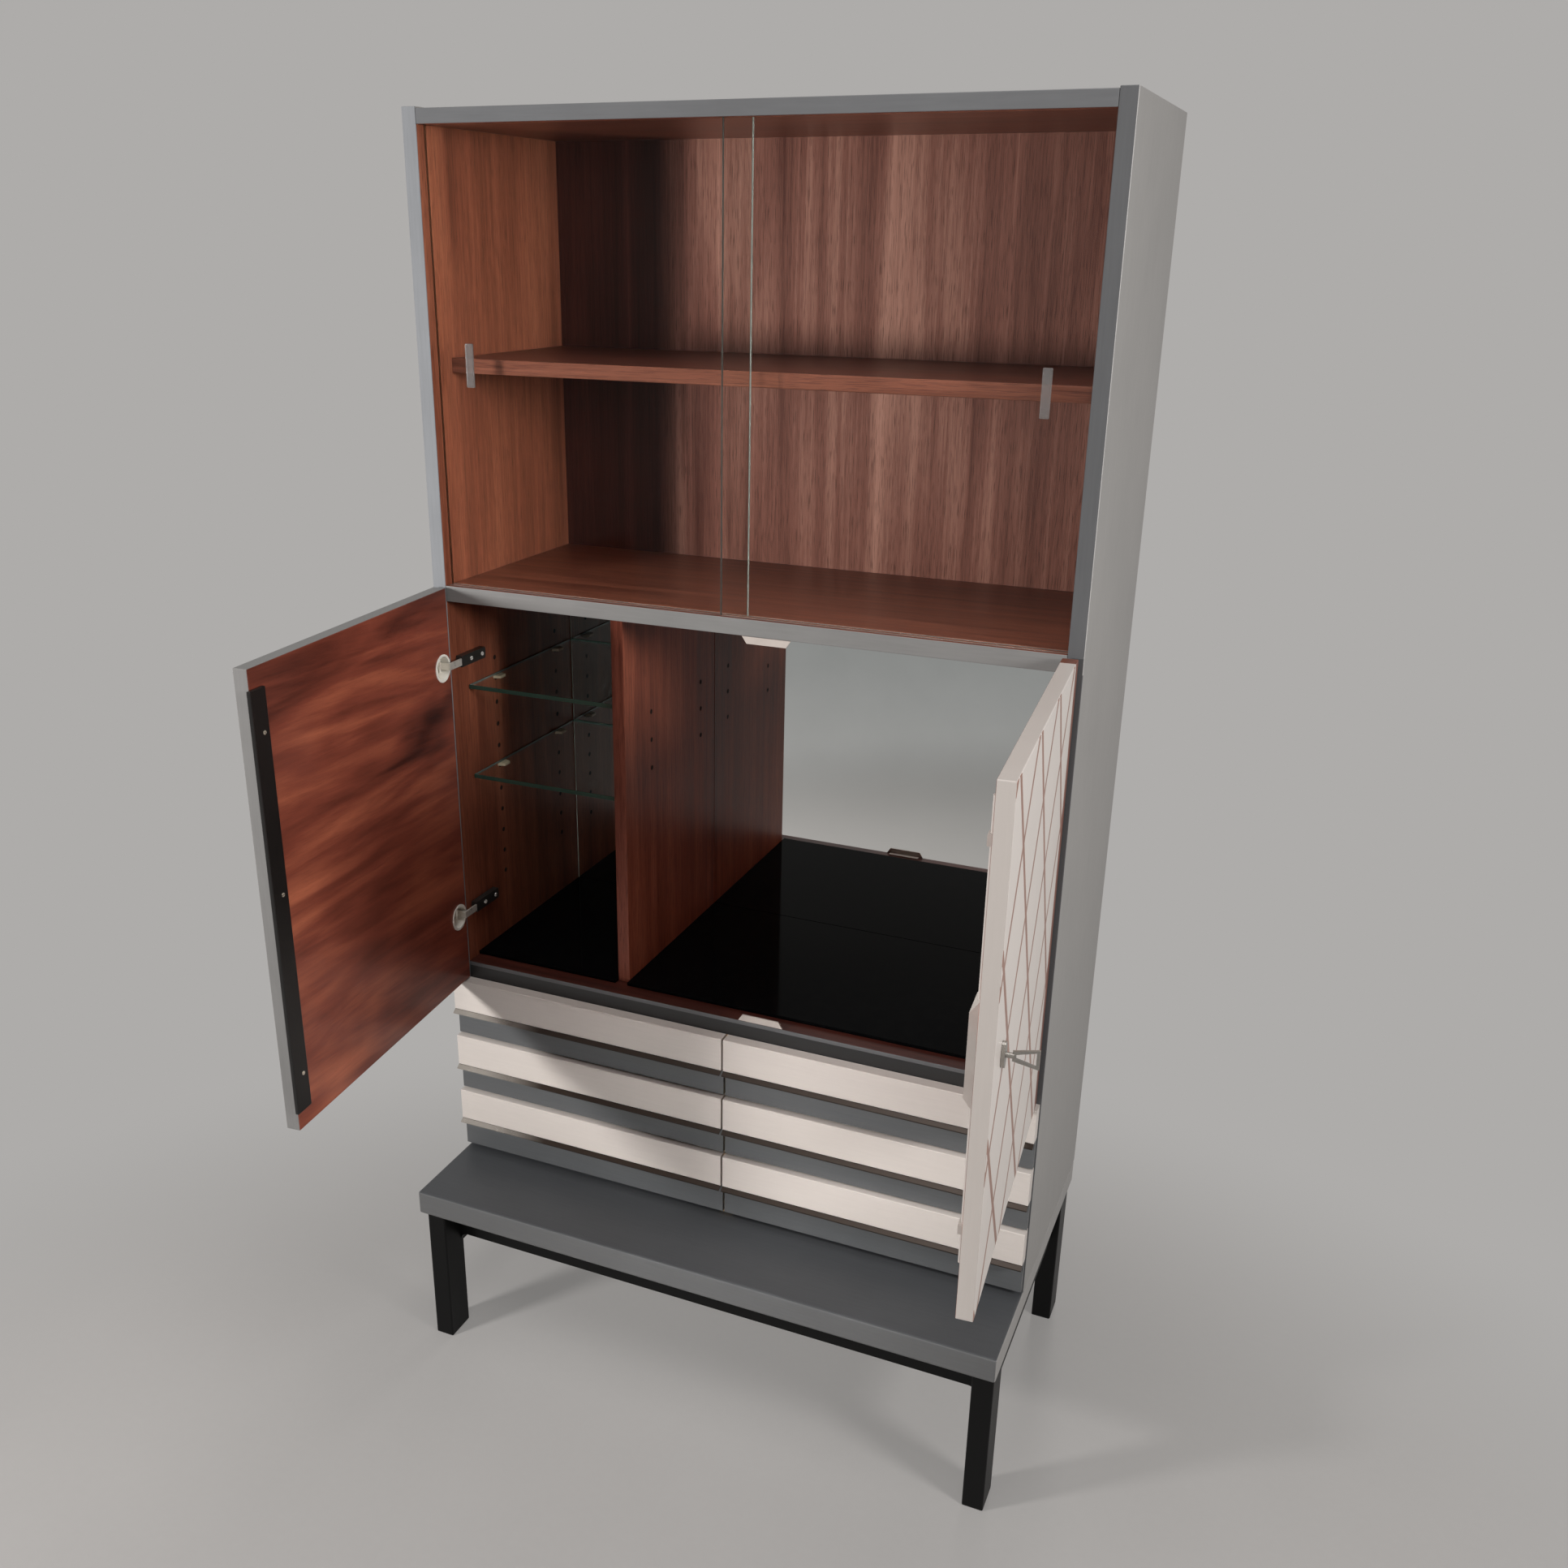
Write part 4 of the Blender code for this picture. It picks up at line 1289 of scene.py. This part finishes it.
@dataclass
class Vitrine:
    """The upper part with its wooden shelf and two sliding panes."""

    end: float = 0.0006
    rebate: float = 0.001
    shelf_gloss: float = 0.35
    edge_rough: float = 0.16
    # The left pane's edge is painted lighter as a highlight and the right pane's darker as shade.
    lit_left_edge: Colour = shade(122, 126, 120)
    shaded_right_edge: Colour = shade(74, 74, 70)
    pane_end: Colour = shade(96, 100, 96)

    def dress(self, nodes: Nodes) -> None:
        """Dress the shelf, the panes and their pulls.

        Args:
            nodes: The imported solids.
        """
        # The shelf's top is painted darker than its front edge, as painted shade.
        front = Region(y=(None, nodes.low("vitrine_shelf").y + SKIN))
        laid = ((front, SHELF_EDGE),)
        shelf = Finish("vitrine_shelf_veneer", SHADED_SHELF_WOOD, laid, specular=self.shelf_gloss)
        nodes.dress(shelf.make(), "vitrine_shelf")
        for side in Side:
            name = f"glass_pane_{side.value}"
            glass = ClearGlass(f"{side.value}_pane_glass", end_regions(name, self.end), self.pane_end)
            nodes.dress(glass.make(), name)
        nodes.dress(ClearPlastic("pane_pull_plastic").make(), "pane_pull_left", "pane_pull_right")

    def build(self) -> None:
        """Lay the ground edges on the panes where they overlap, the left pane's painted lighter as a
        highlight and the right pane's darker as shade.
        """
        for side in Side:
            low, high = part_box(f"glass_pane_{side.value}")
            across, tone = (high.x, self.lit_left_edge) if side is Side.LEFT else (low.x, self.shaded_right_edge)
            ground = Finish(f"{side.value}_pane_edge_glass", Moulded(tone, self.edge_rough)).make()
            start = Vector((across, low.y, low.z + self.rebate))
            end = Vector((across, high.y, high.z - self.rebate))
            mesh = Mesh()
            EdgeStrip().add(mesh, start, end)
            mesh.piece(f"glass_pane_edge_{side.value}", f"{side.value}_pane", "clear_glass", (ground,))


@dataclass
class Bar:
    """The middle part with mirror, black glass floor and glass shelves."""

    hole_fronts: tuple[float, float] = (0.1150, 0.2900)
    right_fronts: tuple[float, float] = (0.1200, 0.2885)
    hole_step: float = 0.0342
    column_low: float = 0.7108
    column_count: int = 11
    right_holes: tuple[float, ...] = (1.0010, 0.9587, 0.9160)
    end: float = 0.0006
    mirror_edge: float = 0.0016
    reflection_rise: float = 0.24
    reflection_fade: float = 0.44
    shelf_tint: Colour = (0.93, 0.97, 0.95)
    shelf_end: Colour = shade(60, 96, 82)
    hole: PegHole = PegHole()
    strip: EdgeStrip = EdgeStrip()

    def dress(self, nodes: Nodes) -> None:
        """Dress the mirror, the glass and the keepers.

        Args:
            nodes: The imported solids.
        """
        # The mirror is painted lighter low down, as a painted reflection of the pale floor.
        reflection_band = Region(z=(None, nodes.low("bar_mirror").z + self.reflection_rise), soft=self.reflection_fade)
        nodes.dress(MirrorGlass("mirror_silvering", reflection_band).make(), "bar_mirror")
        nodes.dress(BlackGlass("black_floor_glass").make(), "floor_glass_left", "floor_glass_right")
        for level in Level:
            name = f"glass_shelf_{level.value}"
            ends = end_regions(name, self.end)
            glass = ClearGlass(f"{level.value}_shelf_glass", ends, self.shelf_end, self.shelf_tint)
            nodes.dress(glass.make(), name)
        keeper = Finish("keeper_plastic", Moulded(shade(182, 172, 164)))
        nodes.dress(keeper.make(), "keeper_lower", "keeper_upper")

    def build(self, nodes: Nodes) -> None:
        """Lay the peg holes on the walls and the ground edges on the mirror and the shelves.

        Args:
            nodes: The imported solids.
        """
        self.lay_holes(nodes)
        self.edge_mirror()
        self.edge_shelves()

    def lay_holes(self, nodes: Nodes) -> None:
        """Lay the peg holes on the left wall and on both faces of the divider.

        Args:
            nodes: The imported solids.
        """
        # The rims are painted pale as a glint, and the bores dark as the shade inside the holes.
        rim = Finish("hole_rim_glint", Moulded(shade(238, 190, 150), roughness=0.30)).make()
        bore = Finish("hole_bore_shade", Moulded(shade(26, 16, 12), roughness=0.8)).make()
        front = nodes.low("side_left").y
        heights = [self.column_low + self.hole_step * step for step in range(self.column_count)]
        columns = [(front + deep, height) for deep in self.hole_fronts for height in heights]
        left = nodes.low("side_left").x + Carcass.board
        self.lay_wall("left_wall_peg_holes", left, 1, columns, (rim, bore))
        divider = nodes.low("divider_panel").x + Carcass.peg_reach
        self.lay_wall("divider_left_peg_holes", divider, -1, columns, (rim, bore))
        right = nodes.high("divider_panel").x
        places = [(front + deep, height) for deep in self.right_fronts for height in self.right_holes]
        self.lay_wall("divider_right_peg_holes", right, 1, places, (rim, bore))

    def lay_wall(
        self,
        name: str,
        face: float,
        way: int,
        places: Sequence[tuple[float, float]],
        materials: Sequence[Material],
    ) -> None:
        """Lay the holes of one wall.

        Args:
            name: The piece's name.
            face: The wall's place on X.
            way: Where the wall looks along X.
            places: The holes' places on Y and Z.
            materials: The finishes of rim and bore.
        """
        mesh = Mesh()
        mouth = Matrix(((0, 0, way), (way, 0, 0), (0, 1, 0))).to_4x4()
        for deep, height in places:
            self.hole.add(mesh, Matrix.Translation((face, deep, height)) @ mouth, way)
        mesh.piece(name, "carcass", "mahogany", materials)

    def edge_mirror(self) -> None:
        """Lay the bright ground edge on the mirror's left end."""
        low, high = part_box("bar_mirror")
        bright = Finish("mirror_edge_glass", Moulded(shade(206, 212, 204), roughness=0.2)).make()
        mesh = Mesh()
        self.strip.add(mesh, low, Vector((low.x + self.mirror_edge, low.y, high.z)))
        mesh.piece("bar_mirror_edge", "carcass", "mirror_silver", (bright,))

    def edge_shelves(self) -> None:
        """Lay the ground edges on the glass shelves: green in front, dark as painted shade, and pale behind
        as a painted highlight.
        """
        green = Finish("shelf_edge_glass", Moulded(shade(44, 70, 60), roughness=0.12)).make()
        dull = Finish("shelf_end_glass", Moulded(shade(92, 100, 96), roughness=0.2)).make()
        pale = Finish("shelf_back_glass", Moulded(shade(150, 192, 180), roughness=0.2)).make()
        sink = self.strip.sink
        for level in Level:
            low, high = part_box(f"glass_shelf_{level.value}")
            mesh = Mesh()
            self.strip.add(mesh, low, Vector((high.x, low.y, high.z)))
            for across in (low.x + sink, high.x - sink):
                start, end = Vector((across, low.y, low.z)), Vector((across, high.y, high.z))
                self.strip.add(mesh, start, end, 1)
            rear = high.y - sink
            self.strip.add(mesh, Vector((low.x, rear, low.z)), Vector((high.x, rear, high.z)), 2)
            mesh.piece(f"glass_shelf_edge_{level.value}", "carcass", "clear_glass", (green, dull, pale))


@dataclass
class Door:
    """A door that hangs on two cup hinges and stands open."""

    side: Side
    degrees: float
    face_in: float = 0.0115
    face_out: float = -0.0075
    link_end: float = 0.0660
    arm_steps: tuple[float, float] = (0.0555, 0.0835)
    arm_turn: float = 25.0
    level_turn: float = 70.0
    step_turn: float = 40.0
    screw: ScrewHead = ScrewHead()

    def stand(self, nodes: Nodes) -> Stand:
        """Return the door's own coordinates, which start at its hinge."""
        pivot = nodes.joints[f"{self.side.value}_door_hinge"]["pos_m"]
        return Stand((pivot[0], pivot[1], 0.0), self.degrees)

    def direction(self, across: float, deep: float, height: float = 0.0) -> Vector:
        """Return the direction at rest of one that is given in the door's own coordinates."""
        return Matrix.Rotation(math.radians(self.degrees), 3, "Z") @ Vector((across, deep, height))

    def point(self, nodes: Nodes, across: float, deep: float, height: float) -> Vector:
        """Return the place at rest of a point that is given in the door's own coordinates."""
        return Vector(self.stand(nodes).origin) + self.direction(across, deep, height)

    def dress_hinges(self, nodes: Nodes) -> None:
        """Dress the door's cups and arms.

        Args:
            nodes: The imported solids.
        """
        side = self.side.value
        cup = Finish(f"{side}_hinge_cup_plastic", Moulded(shade(236, 232, 222), roughness=0.30)).make()
        dark = Brushed(shade(64, 61, 58), roughness=0.30, grain=Grain.ALONG_Y)
        bright = Brushed(shade(225, 220, 210), roughness=0.28, grain=Grain.ALONG_Y)
        link = Region(y=(None, self.link_end))
        arm = Finish(f"{side}_hinge_arm_metal", dark, ((link, bright),), metallic=0.55).make()
        for level in Level:
            nodes.dress(cup, f"hinge_cup_{side}_{level.value}")
            nodes.dress(arm, f"hinge_arm_{side}_{level.value}")

    def build_arm_screws(self) -> None:
        """Put two screws in each hinge arm."""
        side = self.side.value
        steel = Brushed(shade(240, 237, 230), roughness=0.26)
        head = Finish(f"{side}_arm_screw_metal", steel, metallic=0.35).make()
        # The slot's floor is painted dark, as the shade in the slot.
        slot_shade = Finish(f"{side}_arm_screw_slot_shade", Moulded(shade(40, 38, 36), roughness=0.6)).make()
        inward = -self.side.sign
        mesh = Mesh()
        for count, level in enumerate(Level):
            low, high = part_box(f"hinge_arm_{side}_{level.value}")
            face = high.x if inward > 0 else low.x
            for number, step in enumerate(self.arm_steps):
                seat = Vector((face, low.y + step, (low.z + high.z) / 2))
                turn = self.arm_turn + self.level_turn * count + self.step_turn * number
                self.screw.add(mesh, facing(seat, Vector((inward, 0, 0))), turn)
        mesh.piece(f"{side}_hinge_arm_screws", "carcass", "dull_steel", (head, slot_shade))


@dataclass
class LeftDoor(Door):
    """The left door, grey outside and mahogany inside, with its black strip."""

    side: Side = Side.LEFT
    degrees: float = -85.2
    strip_screws: tuple[float, ...] = (1.1035, 0.9015, 0.6585)
    strip_across: float = 0.4235
    strip_face: float = 0.0168
    strip_turn: float = 30.0
    strip_step_turn: float = 55.0
    strip_screw: ScrewHead = ScrewHead(radius=0.0026, height=0.0009)

    def dress(self, nodes: Nodes) -> None:
        """Dress the door, its strip and its hinges.

        Args:
            nodes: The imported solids.
        """
        stand = self.stand(nodes)
        inside = Region(y=(self.face_in - SKIN, None))
        grey = Paint(shade(114, 112, 110))
        board = Finish("left_door_board", grey, ((inside, DOOR_WOOD),), stand, coat=0.15)
        nodes.dress(board.make(), "door_left")
        black = Paint(shade(20, 18, 17), roughness=0.36, mottle=0.15)
        nodes.dress(Finish("strip_paint", black, stand=stand).make(), "overlap_strip")
        self.dress_hinges(nodes)

    def build(self, nodes: Nodes) -> None:
        """Build the screws of the hinge arms and of the strip.

        Args:
            nodes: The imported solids.
        """
        self.build_arm_screws()
        metal = Brushed(shade(206, 196, 178), roughness=0.34)
        head = Finish("strip_screw_metal", metal, metallic=0.6).make()
        # The slot's floor is painted dark, as the shade in the slot.
        slot_shade = Finish("strip_screw_slot_shade", Moulded(shade(30, 26, 22), roughness=0.6)).make()
        mesh = Mesh()
        for number, height in enumerate(self.strip_screws):
            point = self.point(nodes, self.strip_across, self.strip_face, height)
            turn = self.strip_turn + self.strip_step_turn * number
            self.strip_screw.add(mesh, facing(point, self.direction(0, 1)), turn)
        mesh.piece("strip_screws", "left_door", "dull_steel", (head, slot_shade))


@dataclass
class RightDoor(Door):
    """The right door, white outside with thin bare lines, with its rod lock."""

    side: Side = Side.RIGHT
    degrees: float = 94.4
    middle_z: float = 0.880
    line_width: float = 0.0096
    lattice_lean: float = 33.0
    lattice_step: float = 0.135
    lattice_count: int = 4
    lattice_middle: float = -0.2205
    free_edge: float = -0.4365
    wood_from: float = -0.0130

    def dress(self, nodes: Nodes) -> None:
        """Dress the door, the lock and the hinges.

        Args:
            nodes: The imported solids.
        """
        self.dress_board(nodes)
        self.dress_hinges(nodes)
        nodes.dress(Finish("lock_case_plastic", LOCK_PLASTIC).make(), "lock_case")
        brushed = Brushed(shade(176, 172, 166), roughness=0.34, grain=Grain.ALONG_Z)
        steel = Finish("lock_steel", brushed, metallic=1.0)
        nodes.dress(steel.make(), "key_plate", "lock_key")
        rod = Finish("lock_rod_paint", Paint(WHITE, roughness=0.40, mottle=0.04))
        nodes.dress(rod.make(), "lock_rod_lower", "lock_rod_upper")

    def dress_board(self, nodes: Nodes) -> None:
        """Dress the door's faces, edges and rod guides.

        Args:
            nodes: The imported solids.
        """
        count = self.lattice_count
        steps = [self.lattice_middle + self.lattice_step * step for step in range(-count, count + 1)]
        leans = (-self.lattice_lean, self.lattice_lean)
        lines = tuple((across, lean, self.line_width) for lean in leans for across in steps)
        face = Lines(WHITE_UPRIGHT, shade(136, 96, 80), self.middle_z, lines)
        inside = Region(x=(self.free_edge, None), y=(self.face_in - SKIN, None))
        guides = Region(y=(self.face_in + SKIN, None))
        outside = Region(y=(None, self.face_out + SKIN))
        margin = Region(x=(self.wood_from, None), y=(None, self.face_in - SKIN))
        laid = ((inside, DOOR_WOOD), (guides, LOCK_PLASTIC), (outside, face), (margin, HINGE_WOOD))
        board = Finish("right_door_board", WHITE_UPRIGHT, laid, self.stand(nodes), coat=0.05, bump=0.06)
        nodes.dress(board.make(), "door_right")

    def build(self) -> None:
        """Build the screws of the hinge arms."""
        self.build_arm_screws()


@dataclass
class Drawers:
    """The six drawers with white slats, grey recesses painted darker as shade, and thin metal pulls with a
    painted highlight at their left ends.
    """

    highlight_end: float = 0.10
    front_coat: float = 0.05
    slat_low: dict[Row, float] = field(
        default_factory=lambda: {Row.UPPER: 0.5275, Row.MIDDLE: 0.4300, Row.LOWER: 0.3325}
    )

    def dress(self, nodes: Nodes) -> None:
        """Dress the fronts, the pulls and the boxes.

        Args:
            nodes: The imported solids.
        """
        # The pulls' left ends are painted lighter, as a painted highlight.
        start = nodes.low("drawer_pull_left_upper").x
        lit = Region(x=(None, start + self.highlight_end), soft=self.highlight_end)
        bright = Moulded(shade(160, 153, 145), roughness=0.24)
        nickel = Moulded(shade(50, 41, 35), roughness=0.30)
        pull = Finish("drawer_pull_nickel_highlight", nickel, ((lit, bright),), metallic=0.45, specular=0.3).make()
        box = Finish("drawer_box_wood", PALE_WOOD).make()
        for row in Row:
            # The recess under each slat is painted darker, as the shade under the slat.
            recess = Region(z=(None, self.slat_low[row] - SKIN))
            laid = ((recess, RECESS_SHADE_GREY),)
            front = Finish(f"{row.value}_drawer_front_paint", WHITE_LEVEL, laid, coat=self.front_coat).make()
            for side in Side:
                name = f"{side.value}_{row.value}"
                nodes.dress(front, f"drawer_front_{name}")
                nodes.dress(pull, f"drawer_pull_{name}")
                nodes.dress(box, f"drawer_box_{name}")


@dataclass(frozen=True)
class Lamp:
    """One soft lamp of the studio, which mirrors and gloss show if it is mirrored."""

    name: str
    place: Point
    target: Point
    size: float
    power: float
    mirrored: bool = False
    spread: float = 180.0

    def build(self) -> None:
        """Hang the lamp and point it at its target."""
        data = bpy.data.lights.new(self.name, "AREA")
        data.shape = "DISK"
        data.size = self.size
        data.energy = self.power
        data.spread = math.radians(self.spread)
        lamp = bpy.data.objects.new(self.name, data)
        bpy.context.scene.collection.objects.link(lamp)
        lamp.location = self.place
        aim = Vector(self.target) - Vector(self.place)
        lamp.rotation_euler = aim.to_track_quat("-Z", "Y").to_euler()
        lamp.visible_glossy = self.mirrored
        lamp.visible_transmission = False


LAMPS = (
    Lamp("left_lamp", (-1.44, -1.50, 1.37), (0.0, 0.2, 1.2), size=0.32, power=47.0),
    Lamp("right_lamp", (2.4, -0.78, 1.75), (0.0, 0.1, 1.0), size=0.6, power=47.0, mirrored=True),
    Lamp("low_lamp", (0.0, -1.9, 0.34), (0.0, 0.0, 0.40), size=0.5, power=0.55, spread=30.0),
    Lamp("ceiling_lamp", (0.2, -0.9, 3.7), (0.2, -0.9, 0.0), size=2.0, power=41.0, mirrored=True),
    Lamp("rear_lamp", (0.0, 3.4, 1.3), (0.0, 0.4, 1.0), size=0.8, power=14.0, spread=70.0),
)


@dataclass
class Studio:
    """A pale floor, a pale world, soft lamps and the camera."""

    room: Colour = shade(174, 172, 170)
    floor: Colour = shade(158, 154, 151)
    cloud: float = 2.4
    speck: float = 90.0
    daylight: Colour = (1.0, 0.985, 0.965)
    level: float = 0.06
    radius: float = 14.0
    segments: int = 96
    middle: Point = (0.2, -0.8, 0.0)
    fade: tuple[float, float] = (1.1, 1.9)
    glow: float = 0.35
    eye: Point = (0.70680, -1.63210, 1.62570)
    turn: Point = (68.6736, -0.5538, 23.3276)
    lens: float = 33.7786
    sensor: float = 36.0
    reach: float = 100.0
    shift: tuple[float, float] = (0.026674, 0.021779)

    def build(self) -> None:
        """Set up the floor, the world, the lamps and the camera."""
        self.build_floor()
        self.build_world()
        for lamp in LAMPS:
            lamp.build()
        self.build_camera()
        bpy.context.scene.view_settings.view_transform = "Standard"

    def floor_material(self) -> Material:
        """Make the floor's material, which turns into the room's colour far out.

        Returns:
            The material.
        """
        graph = Graph(bpy.data.materials.new("studio_floor"))
        place = Stand().place(graph)
        cloud = graph.noise(place, self.cloud, detail=6.0, roughness=0.62)
        speck = graph.noise(place, self.speck, detail=3.0)
        tone = graph.weigh(cloud, speck, share=0.3)
        values = {
            "Base Color": graph.tones(tone, scaled(self.floor, 0.95), scaled(self.floor, 1.03)),
            "Roughness": graph.spread(tone, 0.5, 0.7),
        }
        ground = graph.shader("ShaderNodeBsdfPrincipled", values)
        glow = graph.shader("ShaderNodeEmission", {"Color": self.room})
        away = graph.node("ShaderNodeVectorMath", operation="DISTANCE")
        graph.feed(away.inputs[0], place)
        graph.feed(away.inputs[1], self.middle)
        far = graph.node("ShaderNodeMapRange", interpolation_type="SMOOTHSTEP")
        near_end, far_end = self.fade
        graph.fill(far, {"Value": away.outputs["Value"], "From Min": near_end, "From Max": far_end})
        graph.feed(far.inputs["To Min"], self.glow)
        share = graph.math("MULTIPLY", far.outputs["Result"], graph.seen())
        return graph.close(graph.mixed(share, ground, glow))

    def build_floor(self) -> None:
        """Lay a round floor."""
        disc = bmesh.new()
        bmesh.ops.create_circle(disc, cap_ends=True, segments=self.segments, radius=self.radius)
        mesh = bpy.data.meshes.new("studio_floor")
        disc.to_mesh(mesh)
        disc.free()
        mesh.materials.append(self.floor_material())
        floor = bpy.data.objects.new("studio_floor", mesh)
        bpy.context.scene.collection.objects.link(floor)

    def build_world(self) -> None:
        """Make the world pale to the eye and softly lit."""
        graph = Graph(bpy.data.worlds.new("studio_world"))
        light = graph.shader("ShaderNodeBackground", {"Color": self.daylight, "Strength": self.level})
        view = graph.shader("ShaderNodeBackground", {"Color": self.room})
        bpy.context.scene.world = graph.close(graph.mixed(graph.seen(), light, view))

    def build_camera(self) -> None:
        """Put the camera where the photograph was taken from."""
        data = bpy.data.cameras.new("camera")
        data.lens = self.lens
        data.sensor_width = self.sensor
        data.shift_x, data.shift_y = self.shift
        data.clip_end = self.reach
        camera = bpy.data.objects.new("camera", data)
        bpy.context.scene.collection.objects.link(camera)
        camera.location = self.eye
        camera.rotation_euler = tuple(math.radians(angle) for angle in self.turn)
        bpy.context.scene.camera = camera


def main() -> None:
    """Load the frame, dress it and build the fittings."""
    logging.basicConfig(level=logging.INFO, format="%(name)s: %(message)s")
    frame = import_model()
    nodes = Nodes(frame)
    Studio().build()
    Base().dress(nodes)
    Carcass().dress(nodes)
    vitrine = Vitrine()
    vitrine.dress(nodes)
    vitrine.build()
    bar = Bar()
    bar.dress(nodes)
    bar.build(nodes)
    left_door = LeftDoor()
    left_door.dress(nodes)
    left_door.build(nodes)
    right_door = RightDoor()
    right_door.dress(nodes)
    right_door.build()
    Drawers().dress(nodes)


if __name__ == "__main__":
    main()
